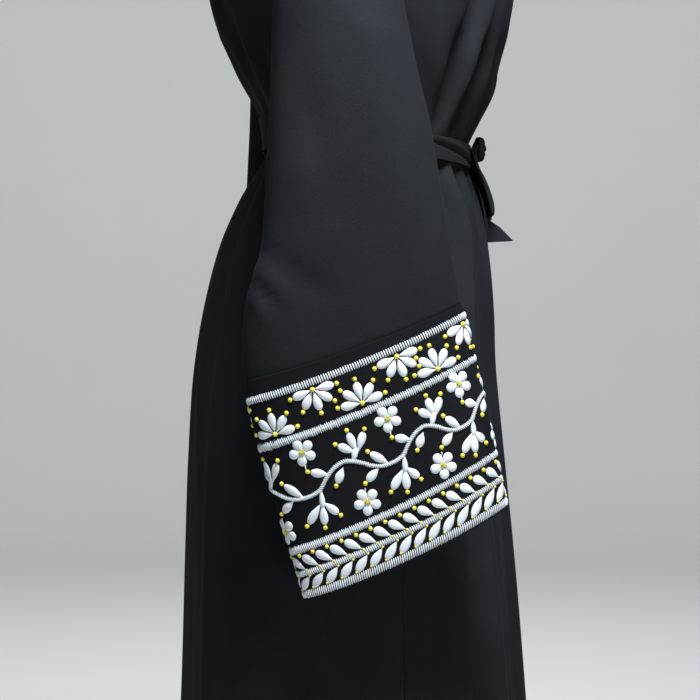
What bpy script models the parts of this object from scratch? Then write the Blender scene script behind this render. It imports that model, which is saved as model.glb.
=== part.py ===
"""An abaya, a long loose robe, worn and tied at the waist, with embroidered cuffs.

Metres, +Z up. The robe faces -Y and the wearer's right is -X.
The origin lies between the two points where the shoulder seams meet the neck.
Every cloth panel is a thin wall on one shared form: a section of the robe at each height,
with gathers that spring from the tie belt.
"""

import math
from collections import namedtuple

import bpy
import numpy as np

# Driving sizes of the robe
CLOTH = 0.0015
SEAM_GAP = 0.0003
SHOULDER_TIP_X = 0.197
SHOULDER_SLOPE = 0.36
SHOULDER_ROUNDING = 0.09
NECK_HALF_WIDTH = 0.075
NECK_DROP_BACK = 0.040
NECK_DROP_FRONT = 0.095
UNDERARM_Z = -0.235
HEM_Z = -1.400
FRONT_OVERLAP = 0.020
UNDERLAP_DEPTH = 0.0022
UNDERLAP_BLEND = 0.045
UNDERLAP_FLAT = 0.004
SECTION_POWER = 2.3
UPPER_POWER = 2.4
YOKE_EASE_ACROSS = 1.20
YOKE_EASE_UP = 1.15

# Driving sizes of the tie belt, which sits lower in front
BELT_TOP_Z = -0.3820
BELT_BOTTOM_Z = -0.4140
BELT_SLOPE = 0.060
BELT_CLOTH = 0.0018
GATHER_PINCH = 0.35
PINCH_REACH = 0.055
RIDGE_AT_BELT = 0.0030
BELT_STANDOFF = RIDGE_AT_BELT + 0.0014
BELT_COLUMNS = 56
BELT_SIDES = (-1.0, -0.5, 0.0, 0.5, 1.0)

# The robe's section at each height: half width, and how far it reaches in front and behind
Section = namedtuple("Section", "z half_width front back")
SECTIONS = (
    Section(0.030, 0.211, 0.058, 0.060),
    Section(-0.040, 0.211, 0.074, 0.086),
    Section(-0.090, 0.211, 0.096, 0.112),
    Section(-0.140, 0.210, 0.122, 0.133),
    Section(-0.185, 0.207, 0.144, 0.145),
    Section(-0.235, 0.197, 0.156, 0.149),
    Section(-0.280, 0.186, 0.151, 0.1370),
    Section(-0.320, 0.173, 0.139, 0.1170),
    Section(-0.355, 0.157, 0.130, 0.1010),
    Section(-0.380, 0.147, 0.119, 0.0910),
    Section(-0.410, 0.144, 0.106, 0.0880),
    Section(-0.445, 0.153, 0.111, 0.1030),
    Section(-0.500, 0.172, 0.1210, 0.128),
    Section(-0.560, 0.187, 0.1260, 0.145),
    Section(-0.620, 0.196, 0.1290, 0.156),
    Section(-0.705, 0.203, 0.1370, 0.163),
    Section(-0.805, 0.208, 0.1470, 0.167),
    Section(-0.955, 0.217, 0.1590, 0.170),
    Section(-1.100, 0.227, 0.1690, 0.174),
    Section(-1.250, 0.238, 0.1790, 0.181),
    Section(-1.400, 0.248, 0.1880, 0.188),
)

# The side seams lie a little forward of the side below the waist
SeamTurn = namedtuple("SeamTurn", "z degrees")
SEAM_TURNS = (
    SeamTurn(0.0, 0.0),
    SeamTurn(UNDERARM_Z, 0.0),
    SeamTurn(-0.40, 10.0),
    SeamTurn(-0.60, 15.0),
    SeamTurn(-0.95, 15.5),
    SeamTurn(HEM_Z, 15.5),
)

# Gathers from each side seam: width as a share, height at full swell, how far each reaches
# above and below the belt, and how high it still stands at the hem
Gather = namedtuple("Gather", "share height above below hem_height")
FRONT_RIGHT_GATHERS = (
    Gather(1.20, 0.0045, 0.09, 0.12, 0.000),
    Gather(1.10, 0.0060, 0.13, 0.30, 0.006),
    Gather(0.90, 0.0080, 0.17, 0.90, 0.013),
    Gather(0.95, 0.0040, 0.15, 0.25, -0.007),
    Gather(1.00, 0.0085, 0.22, 0.95, 0.010),
    Gather(0.85, 0.0050, 0.20, 0.20, 0.004),
)
FRONT_LEFT_GATHERS = (
    Gather(1.10, 0.0050, 0.10, 0.16, 0.000),
    Gather(1.05, 0.0065, 0.12, 0.40, 0.008),
    Gather(0.95, 0.0055, 0.16, 0.22, -0.006),
    Gather(1.00, 0.0080, 0.19, 0.90, 0.012),
    Gather(0.90, 0.0060, 0.16, 0.28, 0.000),
    Gather(1.00, 0.0050, 0.12, 0.18, 0.000),
)
BACK_GATHERS = (
    Gather(1.15, 0.0050, 0.08, 0.14, 0.000),
    Gather(0.95, 0.0065, 0.11, 0.30, 0.008),
    Gather(1.05, 0.0055, 0.14, 0.18, -0.004),
    Gather(0.90, 0.0080, 0.18, 0.55, 0.012),
    Gather(1.00, 0.0070, 0.20, 0.26, 0.000),
    Gather(1.10, 0.0085, 0.21, 0.50, 0.010),
    Gather(0.95, 0.0065, 0.20, 0.24, -0.005),
    Gather(0.90, 0.0080, 0.17, 0.60, 0.012),
    Gather(1.10, 0.0055, 0.13, 0.20, 0.000),
    Gather(0.95, 0.0065, 0.11, 0.34, 0.009),
    Gather(1.00, 0.0050, 0.08, 0.15, 0.000),
)
COLUMNS_PER_GATHER = 4
SKIRT_ROWS_Z = (
    -1.400, -1.230, -1.060, -0.900, -0.760, -0.650, -0.570, -0.510, -0.466,
    -0.436, -0.417, -0.398, -0.379, -0.356, -0.322, -0.278,
)
YOKE_ROWS = 7

# Grid columns at which each panel's shoulder seam meets its neck edge
NECK_COLUMNS = {"back": (14, 30), "front_right": (12,), "front_left": (12,)}

# The sleeve's section at each station: its middle, the points of its front and back folds,
# and half its thickness towards the outside, with the rise of the outside above the middle
Station = namedtuple("Station", "centre_x front_y front_z back_y back_z side_x side_z droop")
SLEEVE_STATIONS = (
    Station(-0.2105, -0.0575, -0.144, 0.0595, -0.144, 0.0095, 0.0938, 0.000),
    Station(-0.2243, -0.0560, -0.154, 0.0610, -0.155, 0.0188, 0.0888, 0.000),
    Station(-0.2370, -0.0535, -0.172, 0.0630, -0.174, 0.0270, 0.0800, 0.000),
    Station(-0.2485, -0.0505, -0.196, 0.0660, -0.199, 0.0345, 0.0675, 0.000),
    Station(-0.2578, -0.0465, -0.225, 0.0700, -0.229, 0.0403, 0.0520, 0.000),
    Station(-0.2630, -0.0430, -0.258, 0.0730, -0.262, 0.0430, 0.0350, 0.000),
    Station(-0.2650, -0.0405, -0.296, 0.0755, -0.302, 0.0440, 0.0150, 0.000),
    Station(-0.2660, -0.0525, -0.358, 0.0770, -0.362, 0.0420, 0.0050, 0.001),
    Station(-0.2650, -0.0635, -0.404, 0.0793, -0.414, 0.0400, 0.0020, 0.002),
    Station(-0.2640, -0.0722, -0.455, 0.0820, -0.470, 0.0380, 0.0000, 0.003),
    Station(-0.2630, -0.0794, -0.500, 0.0860, -0.516, 0.0360, 0.0000, 0.004),
    Station(-0.2620, -0.0848, -0.534, 0.0975, -0.556, 0.0340, 0.0000, 0.005),
    Station(-0.2610, -0.0888, -0.556, 0.1020, -0.596, 0.0325, 0.0000, 0.006),
)
CUFF_STATIONS = (
    Station(-0.2600, -0.0915, -0.5640, 0.1005, -0.6320, 0.0315, 0.0000, 0.006),
    Station(-0.2590, -0.0975, -0.5850, 0.0965, -0.6560, 0.0310, 0.0000, 0.006),
    Station(-0.2570, -0.1050, -0.6180, 0.0870, -0.6930, 0.0300, 0.0000, 0.006),
    Station(-0.2550, -0.1145, -0.6570, 0.0745, -0.7370, 0.0290, 0.0000, 0.006),
    Station(-0.2530, -0.1230, -0.6980, 0.0610, -0.7790, 0.0285, 0.0000, 0.006),
    Station(-0.2510, -0.1330, -0.7440, 0.0470, -0.8260, 0.0280, 0.0000, 0.006),
)
SLEEVE_POWER = 2.15
SLEEVE_COLUMNS = 24
ARMHOLE_STEP = 0.0005
LEFT_SLEEVE_BACK_SHIFT = 0.043
LEFT_SLEEVE_SHIFT_STATIONS = 7.0

# Lines across the cuff, as shares of its height at the front and back folds, and how far the
# cloth stands out there: four satin-stitched bars are raised
CuffLine = namedtuple("CuffLine", "front back lift")
CUFF_LINES = (
    CuffLine(0.000, 0.000, 0.0000),
    CuffLine(0.026, 0.074, 0.0000),
    CuffLine(0.030, 0.079, 0.0009),
    CuffLine(0.062, 0.109, 0.0009),
    CuffLine(0.066, 0.114, 0.0000),
    CuffLine(0.244, 0.287, 0.0000),
    CuffLine(0.248, 0.292, 0.0009),
    CuffLine(0.280, 0.322, 0.0009),
    CuffLine(0.284, 0.327, 0.0000),
    CuffLine(0.500, 0.540, 0.0000),
    CuffLine(0.728, 0.762, 0.0000),
    CuffLine(0.732, 0.767, 0.0009),
    CuffLine(0.764, 0.797, 0.0009),
    CuffLine(0.768, 0.802, 0.0000),
    CuffLine(0.964, 0.964, 0.0000),
    CuffLine(0.968, 0.968, 0.0009),
    CuffLine(1.000, 1.000, 0.0009),
)

# Ribbon routes of the bow: sideways place, height, distance in front of the skirt's folds,
# ribbon width and twist about its own run
RibbonPoint = namedtuple("RibbonPoint", "x z clear width twist")
RIGHT_LOOP = (
    RibbonPoint(-0.0090, -0.4050, 0.0084, 0.012, 0.0),
    RibbonPoint(-0.0140, -0.4112, 0.0086, 0.015, 0.0),
    RibbonPoint(-0.0195, -0.4228, 0.0106, 0.021, 0.0),
    RibbonPoint(-0.0240, -0.4400, 0.0132, 0.027, 0.0),
    RibbonPoint(-0.0275, -0.4590, 0.0132, 0.028, 0.0),
    RibbonPoint(-0.0290, -0.4700, 0.0104, 0.028, 0.0),
    RibbonPoint(-0.0270, -0.4590, 0.0076, 0.028, 0.0),
    RibbonPoint(-0.0230, -0.4400, 0.0060, 0.026, 0.0),
    RibbonPoint(-0.0190, -0.4230, 0.0056, 0.020, 0.0),
    RibbonPoint(-0.0140, -0.4118, 0.0060, 0.014, 0.0),
    RibbonPoint(-0.0100, -0.4065, 0.0056, 0.012, 0.0),
)
LEFT_LOOP = (
    RibbonPoint(0.0110, -0.4045, 0.0084, 0.012, 0.0),
    RibbonPoint(0.0165, -0.4105, 0.0086, 0.015, 0.0),
    RibbonPoint(0.0225, -0.4210, 0.0104, 0.021, 0.0),
    RibbonPoint(0.0275, -0.4390, 0.0126, 0.027, 0.0),
    RibbonPoint(0.0315, -0.4600, 0.0124, 0.029, 0.0),
    RibbonPoint(0.0330, -0.4730, 0.0098, 0.029, 0.0),
    RibbonPoint(0.0310, -0.4610, 0.0070, 0.029, 0.0),
    RibbonPoint(0.0265, -0.4400, 0.0058, 0.026, 0.0),
    RibbonPoint(0.0215, -0.4220, 0.0056, 0.020, 0.0),
    RibbonPoint(0.0160, -0.4110, 0.0060, 0.014, 0.0),
    RibbonPoint(0.0120, -0.4060, 0.0056, 0.012, 0.0),
)
RIGHT_TAIL = (
    RibbonPoint(-0.0028, -0.4172, 0.0058, 0.0050, 0.0),
    RibbonPoint(-0.0032, -0.4240, 0.0040, 0.0060, 0.0),
    RibbonPoint(-0.0052, -0.4310, 0.0024, 0.0100, 0.0),
    RibbonPoint(-0.0085, -0.4440, 0.0018, 0.0190, 2.0),
    RibbonPoint(-0.0125, -0.4600, 0.0026, 0.0280, 5.0),
    RibbonPoint(-0.0155, -0.4740, 0.0066, 0.0330, 17.0),
    RibbonPoint(-0.0175, -0.4860, 0.0115, 0.0340, 36.0),
    RibbonPoint(-0.0185, -0.4970, 0.0150, 0.0340, 56.0),
)
LEFT_TAIL = (
    RibbonPoint(0.0036, -0.4172, 0.0058, 0.0055, 0.0),
    RibbonPoint(0.0044, -0.4240, 0.0040, 0.0065, 0.0),
    RibbonPoint(0.0066, -0.4310, 0.0024, 0.0100, 0.0),
    RibbonPoint(0.0125, -0.4460, 0.0014, 0.0190, 0.0),
    RibbonPoint(0.0190, -0.4700, 0.0014, 0.0280, 0.0),
    RibbonPoint(0.0250, -0.4980, 0.0018, 0.0320, 0.0),
    RibbonPoint(0.0290, -0.5240, 0.0042, 0.0330, -8.0),
    RibbonPoint(0.0320, -0.5500, 0.0065, 0.0340, -14.0),
)
KNOT_HALF_WIDTH = 0.0130
KNOT_HALF_HEIGHT = 0.0120
KNOT_DEPTH = 0.0068
KNOT_STANDOFF = 0.0080
KNOT_COLUMNS = 14
KNOT_ROWS = 8
KNOT_CORE_X = (-0.0036, 0.0058)
KNOT_LIFT = 0.0100

# The knot narrows to a quarter of its depth at top and bottom, and is rounded across
KNOT_END_POWER = 3.2
KNOT_END_DEPTH = 0.25
KNOT_END_WIDTH = 0.55
KNOT_FACE_POWER = 0.7
LOOP_STEPS = 15
TAIL_STEPS = 12
RIBBON_COLUMNS = 4
SMOOTH_ANGLE = math.radians(40)
TURN_STEP = 0.001

Finish = namedtuple("Finish", "name colour roughness")
BLACK_CREPE = Finish("black crepe", (0.018, 0.020, 0.024, 1.0), 0.72)
CUFF_CREPE = Finish("black cuff crepe", (0.012, 0.012, 0.014, 1.0), 0.70)
BELT_CREPE = Finish("black belt crepe", (0.016, 0.016, 0.020, 1.0), 0.70)


def smooth_step(share):
    """0 to 1 with a soft start and end."""
    held = np.clip(share, 0.0, 1.0)
    return held * held * (3.0 - 2.0 * held)


def curve_through(places, values, where):
    """A smooth curve through the values, read at the places asked for."""
    places = np.asarray(places, float)
    values = np.asarray(values, float)
    if places[0] > places[-1]:
        places, values = places[::-1], values[::-1]
    where = np.clip(where, places[0], places[-1])
    slopes = np.gradient(values, places)
    at = np.clip(np.searchsorted(places, where, side="right") - 1, 0, len(places) - 2)
    span = places[at + 1] - places[at]
    t = (where - places[at]) / span
    return (
        values[at] * (2 * t**3 - 3 * t**2 + 1)
        + values[at + 1] * (3 * t**2 - 2 * t**3)
        + slopes[at] * span * (t**3 - 2 * t**2 + t)
        + slopes[at + 1] * span * (t**3 - t**2)
    )


def column_of(rows, name):
    return [getattr(row, name) for row in rows]


def section_size(name, z):
    return curve_through(column_of(SECTIONS, "z"), column_of(SECTIONS, name), z)


def seam_turn(z):
    turns = curve_through(column_of(SEAM_TURNS, "z"), column_of(SEAM_TURNS, "degrees"), z)
    return np.radians(turns)


def round_form(turn, z):
    """The robe's form with no gathers. Turn 0 is the right side, a quarter turn is the front."""
    across, ahead = np.cos(turn), np.sin(turn)
    reach = (np.abs(across) ** SECTION_POWER + np.abs(ahead) ** SECTION_POWER) ** (-1 / SECTION_POWER)
    depth = np.where(ahead > 0, section_size("front", z), section_size("back", z))
    x = -section_size("half_width", z) * across * reach
    y = -depth * ahead * reach
    return np.stack([x, y, z + 0 * turn], axis=-1)


def shoulder_height(x):
    return -(np.abs(x) - NECK_HALF_WIDTH) * SHOULDER_SLOPE


def neck_height(x, drop):
    """The neck edge: an ellipse below the level of the shoulder seams' inner ends."""
    inside = np.clip(1.0 - (x / NECK_HALF_WIDTH) ** 2, 0.0, 1.0)
    return np.where(inside > 0, -drop * np.sqrt(inside), shoulder_height(x))


def yoke_depth(x, z, side):
    """How far the cloth stands from the shoulder line's plane, rounded over the shoulder."""
    width = section_size("half_width", z)
    across = np.clip(np.abs(x) / width, 0.0, 1.0)
    flat = section_size(side, z) * (1.0 - across**UPPER_POWER) ** (1 / UPPER_POWER)
    below = np.clip((shoulder_height(x) - z) / SHOULDER_ROUNDING, 0.0, 1.0)
    return flat * np.sqrt(1.0 - (1.0 - below) ** 2)


def gather_edges(gathers):
    """The gathers' borders as shares of the panel."""
    shares = np.array(column_of(gathers, "share"))
    return np.concatenate([[0.0], np.cumsum(shares)]) / shares.sum()


def gather_swell(gather, z):
    """How high one gather stands at this height: pinched by the belt, fading above and below."""
    above = np.maximum(z - BELT_TOP_Z, 0.0)
    below = np.maximum(BELT_BOTTOM_Z - z, 0.0)
    pinch = GATHER_PINCH + (1 - GATHER_PINCH) * smooth_step((above + below) / PINCH_REACH)
    fade = (1.0 - smooth_step(above / gather.above)) * (1.0 - smooth_step(below / gather.below))
    hem = smooth_step(below / (BELT_BOTTOM_Z - HEM_Z)) * gather.hem_height
    return gather.height * pinch * fade + hem


def gather_height(gathers, share, z):
    """The gathers' height at a share of the panel's width."""
    edges = gather_edges(gathers)
    within = np.clip(share, 0.0, 1.0)
    which = np.clip(np.searchsorted(edges, within, side="right") - 1, 0, len(gathers) - 1)
    place = (within - edges[which]) / (edges[which + 1] - edges[which])
    bell = 0.5 - 0.5 * np.cos(2 * math.pi * place)
    swells = np.stack([gather_swell(gather, z) for gather in gathers])
    chosen = np.take_along_axis(swells, np.broadcast_to(which, swells.shape[1:])[None], axis=0)[0]
    return chosen * bell


def gather_columns(gathers):
    """Shares of the panel at each grid column, so that every ridge and trough has one."""
    edges = gather_edges(gathers)
    steps = np.arange(COLUMNS_PER_GATHER) / COLUMNS_PER_GATHER
    inner = [low + (high - low) * steps for low, high in zip(edges[:-1], edges[1:])]
    return np.concatenate([*inner, [1.0]])


def panel_turns(panel, shares, z):
    """The turn of each column at height z, from one border of the panel to the other."""
    seam = seam_turn(z)
    edge = np.arcsin(np.clip(FRONT_OVERLAP / section_size("half_width", z), 0, 1))
    start, end = {
        "front_right": (seam, math.pi / 2 + edge),
        "front_left": (math.pi - seam, math.pi / 2 - edge),
        "back": (math.pi - seam, 2 * math.pi + seam),
    }[panel]
    return start + (end - start) * shares


def neck_columns_x(start_x, end_x, count):
    """Columns spread evenly round the neck's ellipse, from one place across it to another."""
    start, end = (math.acos(np.clip(x / NECK_HALF_WIDTH, -1, 1)) for x in (start_x, end_x))
    return NECK_HALF_WIDTH * np.cos(np.linspace(start, end, count))


def yoke_top_x(panel, shares):
    """Where each column ends on the shoulder line and the neck edge."""
    first, last = NECK_COLUMNS[panel][0], NECK_COLUMNS[panel][-1]
    if panel == "back":
        left = np.linspace(SHOULDER_TIP_X, NECK_HALF_WIDTH, first + 1)
        neck = neck_columns_x(NECK_HALF_WIDTH, -NECK_HALF_WIDTH, last - first + 1)
        right = np.linspace(-NECK_HALF_WIDTH, -SHOULDER_TIP_X, len(shares) - last)
        return np.concatenate([left, neck[1:], right[1:]])
    side = -1.0 if panel == "front_right" else 1.0
    shoulder = side * np.linspace(SHOULDER_TIP_X, NECK_HALF_WIDTH, first + 1)
    neck = neck_columns_x(side * NECK_HALF_WIDTH, -side * FRONT_OVERLAP, len(shares) - first)
    return np.concatenate([shoulder, neck[1:]])


def yoke_rows(panel, shares):
    """The panel above the underarm: up to the armhole's top, the shoulder and the neck."""
    side, sign, drop = ("back", 1.0, NECK_DROP_BACK)
    if panel != "back":
        side, sign, drop = ("front", -1.0, NECK_DROP_FRONT)
    start_x = round_form(panel_turns(panel, shares, UNDERARM_Z), np.full(len(shares), UNDERARM_Z))[:, 0]
    top_x = yoke_top_x(panel, shares)
    top_z = neck_height(top_x, drop)
    made = []
    for row in range(1, YOKE_ROWS + 1):
        climb = row / YOKE_ROWS
        x = start_x + (top_x - start_x) * climb**YOKE_EASE_ACROSS
        z = UNDERARM_Z + (top_z - UNDERARM_Z) * math.sin(climb * math.pi / 2) ** YOKE_EASE_UP
        depth = np.maximum(yoke_depth(x, z, side), SEAM_GAP / 2)
        made.append(np.stack([x, sign * depth, z], axis=-1))
    return made


def panel_form(panel, gathers):
    """(rows of the panel's form, rows of its outward directions, rows of gather heights)."""
    shares = gather_columns(gathers)
    step = shares[1] - shares[0]
    wider = np.concatenate([[-step], shares, [1.0 + step]])
    heights_z = (*SKIRT_ROWS_Z, UNDERARM_Z)
    lower = [round_form(panel_turns(panel, wider, z), np.full(len(wider), z)) for z in heights_z]
    upper = [
        np.concatenate([[2 * row[0] - row[1]], row, [2 * row[-1] - row[-2]]])
        for row in yoke_rows(panel, shares)
    ]
    grid = np.array(lower + upper)
    along = np.gradient(grid, axis=1)
    up = np.gradient(grid, axis=0)
    outward = np.cross(along, up) if panel != "front_left" else np.cross(up, along)
    outward /= np.linalg.norm(outward, axis=2, keepdims=True)
    grid, outward = grid[:, 1:-1], outward[:, 1:-1]
    level = grid[:, :, 2] - BELT_SLOPE * grid[:, :, 1]
    swell = np.stack([gather_height(gathers, shares, row) for row in level])
    if panel == "front_left":
        tucked = 1.0 - smooth_step((grid[:, :, 0] - FRONT_OVERLAP - UNDERLAP_FLAT) / UNDERLAP_BLEND)
        swell = swell * (1.0 - tucked) - UNDERLAP_DEPTH * tucked
    return grid, outward, swell


def part_edges(points, gap):
    """Moves both side borders of a grid in by half a seam gap."""
    moved = points.copy()
    for edge, inner in ((0, 1), (-1, -2)):
        run = points[:, inner] - points[:, edge]
        run /= np.linalg.norm(run, axis=1, keepdims=True)
        moved[:, edge] += run * gap / 2
    return moved


def hold_side(points, panel):
    """Keeps a front or back panel on its own side of the shoulder seam."""
    above = points[:, :, 2] > UNDERARM_Z + 0.001
    held = points.copy()
    if panel == "back":
        held[:, :, 1] = np.where(above, np.maximum(points[:, :, 1], SEAM_GAP / 2), points[:, :, 1])
    else:
        held[:, :, 1] = np.where(above, np.minimum(points[:, :, 1], -SEAM_GAP / 2), points[:, :, 1])
    return held


def material_of(finish):
    found = bpy.data.materials.get(finish.name)
    if found:
        return found
    material = bpy.data.materials.new(finish.name)
    material.use_nodes = True
    shader = material.node_tree.nodes["Principled BSDF"]
    shader.inputs["Base Color"].default_value = finish.colour
    shader.inputs["Roughness"].default_value = finish.roughness
    shader.inputs["Metallic"].default_value = 0.0
    return material


def add_object(name, points, faces, finish):
    mesh = bpy.data.meshes.new(name)
    mesh.from_pydata([tuple(p) for p in points], [], faces)
    mesh.validate()
    mesh.shade_smooth()
    mesh.set_sharp_from_angle(angle=SMOOTH_ANGLE)
    mesh.materials.append(material_of(finish))
    made = bpy.data.objects.new(name, mesh)
    bpy.context.scene.collection.objects.link(made)
    return made


def signed_volume(points, faces):
    total = 0.0
    for face in faces:
        for i in range(1, len(face) - 1):
            a, b, c = points[face[0]], points[face[i]], points[face[i + 1]]
            total += np.dot(a, np.cross(b, c))
    return total / 6


def add_wall(name, outer, inner, finish, closed=False):
    """A wall between two grids of points. A closed one is a tube, open at both ends."""
    rows, columns = outer.shape[:2]
    points = np.concatenate([outer.reshape(-1, 3), inner.reshape(-1, 3)])
    offset = rows * columns
    spans = columns if closed else columns - 1
    faces = []
    for row in range(rows - 1):
        for column in range(spans):
            a = row * columns + column
            b = row * columns + (column + 1) % columns
            c, d = b + columns, a + columns
            faces += [(a, b, c), (a, c, d)]
            faces += [(offset + c, offset + b, offset + a), (offset + d, offset + c, offset + a)]
    for column in range(spans):
        a, b = column, (column + 1) % columns
        faces.append((b, a, offset + a, offset + b))
        a, b = a + (rows - 1) * columns, b + (rows - 1) * columns
        faces.append((a, b, offset + b, offset + a))
    if not closed:
        for row in range(rows - 1):
            a, d = row * columns, (row + 1) * columns
            faces.append((a, d, offset + d, offset + a))
            b, c = a + columns - 1, d + columns - 1
            faces.append((c, b, offset + b, offset + c))
    if signed_volume(points, faces) < 0:
        faces = [face[::-1] for face in faces]
    return add_object(name, points, faces, finish)


def add_panel(panel, gathers, pieces):
    """A panel's wall, cut into pieces that share its columns."""
    grid, outward, swell = panel_form(panel, gathers)
    outer = grid + outward * swell[:, :, None]
    inner = outer - outward * CLOTH
    last = grid.shape[1] - 1
    for place, name in enumerate(pieces):
        columns = slice(last * place // len(pieces), last * (place + 1) // len(pieces) + 1)
        cut = (part_edges(points[:, columns], SEAM_GAP) for points in (outer, inner))
        add_wall(name, *(hold_side(points, panel) for points in cut), BLACK_CREPE)


def armhole_loop(turns):
    """The armhole's edge, read round from the front by turn. A quarter turn is the top."""
    top, bottom = shoulder_height(SHOULDER_TIP_X), UNDERARM_Z
    z = (top + bottom) / 2 + (top - bottom) / 2 * np.sin(turns)
    x = np.full(len(turns), SHOULDER_TIP_X)
    front = -yoke_depth(x, z, "front")
    back = yoke_depth(x, z, "back")
    y = np.where(np.cos(turns) > 0, front, back)
    return np.stack([-x, y, z], axis=-1)


def sleeve_ring(station, turns):
    """One ring of the sleeve. Turn 0 is its front fold and a quarter turn its outside."""
    across, side = np.cos(turns), np.sin(turns)
    reach = (np.abs(across) ** SLEEVE_POWER + np.abs(side) ** SLEEVE_POWER) ** (-1 / SLEEVE_POWER)
    middle_y = (station.front_y + station.back_y) / 2
    middle_z = (station.front_z + station.back_z) / 2
    sag = station.droop * np.abs(side * reach) ** 2
    x = station.centre_x - station.side_x * side * reach
    y = middle_y + (station.front_y - middle_y) * across * reach
    z = middle_z + (station.front_z - middle_z) * across * reach + station.side_z * side * reach - sag
    return np.stack([x, y, z], axis=-1)


def sleeve_form(places, turns):
    """Rings of the whole sleeve, cuff included. Places count stations, for each ring and turn."""
    stations = SLEEVE_STATIONS + CUFF_STATIONS
    rows = np.arange(len(stations))
    sizes = (curve_through(rows, column_of(stations, name), places) for name in Station._fields)
    return sleeve_ring(Station(*sizes), turns)


def outward_of(rings):
    """Outward directions of a tube's rings."""
    along = np.gradient(rings, axis=0)
    around = np.roll(rings, -1, axis=1) - np.roll(rings, 1, axis=1)
    outward = np.cross(along, around)
    centre = rings.mean(axis=1, keepdims=True)
    facing = np.sign(((rings - centre) * outward).sum(axis=2, keepdims=True))
    outward *= np.where(facing == 0, 1.0, facing)
    return outward / np.linalg.norm(outward, axis=2, keepdims=True)


def left_from_right(points, places):
    """The left sleeve: the right one across the middle, with the arm a little further back."""
    moved = points * np.array([-1.0, 1.0, 1.0])
    moved[..., 1] += LEFT_SLEEVE_BACK_SHIFT * smooth_step((places + 1) / LEFT_SLEEVE_SHIFT_STATIONS)
    return moved


def cuff_places(turns):
    """Places of the cuff's lines, which run a little unevenly from the back to the front."""
    front = np.array(column_of(CUFF_LINES, "front"))[:, None]
    back = np.array(column_of(CUFF_LINES, "back"))[:, None]
    shares = back + (front - back) * (1 + np.cos(turns)) / 2
    return len(SLEEVE_STATIONS) + (len(CUFF_STATIONS) - 1) * shares


def add_sleeves():
    turns = 2 * math.pi * np.arange(SLEEVE_COLUMNS) / SLEEVE_COLUMNS
    armhole = armhole_loop(turns)
    armhole[:, 0] -= ARMHOLE_STEP
    seam = len(SLEEVE_STATIONS)
    places = np.arange(-1.0, seam + 1)[:, None] + 0 * turns
    cuff_rows = cuff_places(turns)
    sleeve = np.concatenate([armhole[None], sleeve_form(places[1:], turns)])
    cuff = sleeve_form(cuff_rows, turns)
    near_seam = sleeve_form(seam + np.array([-0.1, 0.0, 0.1])[:, None] + 0 * turns, turns)
    seam_run = near_seam[2] - near_seam[0]
    seam_run /= np.linalg.norm(seam_run, axis=1, keepdims=True)
    sleeve_out = outward_of(sleeve)
    sleeve_out[0, :, 0] = 0.0
    sleeve_out[0] /= np.linalg.norm(sleeve_out[0], axis=1, keepdims=True)
    cuff_out = outward_of(cuff)
    sleeve_out[-1] = cuff_out[0] = outward_of(near_seam)[1]
    sleeve_in = sleeve - sleeve_out * CLOTH
    cuff_in = cuff - cuff_out * CLOTH
    sleeve[-1] -= seam_run * SEAM_GAP
    sleeve_in[-1] -= seam_run * SEAM_GAP
    cuff += cuff_out * np.array(column_of(CUFF_LINES, "lift"))[:, None, None]
    add_wall("sleeve_right", sleeve, sleeve_in, BLACK_CREPE, closed=True)
    add_wall("cuff_right", cuff, cuff_in, CUFF_CREPE, closed=True)
    left = (left_from_right(points, places) for points in (sleeve, sleeve_in))
    add_wall("sleeve_left", *left, BLACK_CREPE, closed=True)
    left = (left_from_right(points, cuff_rows) for points in (cuff, cuff_in))
    add_wall("cuff_left", *left, CUFF_CREPE, closed=True)


def belt_line(turns, side, standoff):
    """A ring round the waist, a distance out from the robe's form. Side is -1 below to 1 above."""
    middle = (BELT_TOP_Z + BELT_BOTTOM_Z) / 2 + side * (BELT_TOP_Z - BELT_BOTTOM_Z) / 2
    z = middle + BELT_SLOPE * round_form(turns, np.full(len(turns), middle))[:, 1]
    here = round_form(turns, z)
    along = round_form(turns + TURN_STEP, z) - round_form(turns - TURN_STEP, z)
    outward = np.stack([along[:, 1], -along[:, 0], 0 * along[:, 0]], axis=-1)
    outward *= np.sign((outward * here).sum(axis=1, keepdims=True))
    outward /= np.linalg.norm(outward, axis=1, keepdims=True)
    return here + outward * standoff


def add_belt():
    turns = 2 * math.pi * np.arange(BELT_COLUMNS) / BELT_COLUMNS
    inner = np.stack([belt_line(turns, side, BELT_STANDOFF) for side in BELT_SIDES])
    outer = np.stack([belt_line(turns, side, BELT_STANDOFF + BELT_CLOTH) for side in BELT_SIDES])
    add_wall("belt_band", outer, inner, BELT_CREPE, closed=True)


def skirt_front(x, z, clear):
    """A point in front of the robe's folds, by the clearance asked for."""
    width = section_size("half_width", z)
    depth = section_size("front", z) * (1 - (abs(x) / width) ** SECTION_POWER) ** (1 / SECTION_POWER)
    tallest = max(
        float(gather_swell(gather, np.array(z))) for gather in FRONT_RIGHT_GATHERS + FRONT_LEFT_GATHERS
    )
    return np.array([x, -(float(depth) + tallest + clear), z])


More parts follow.
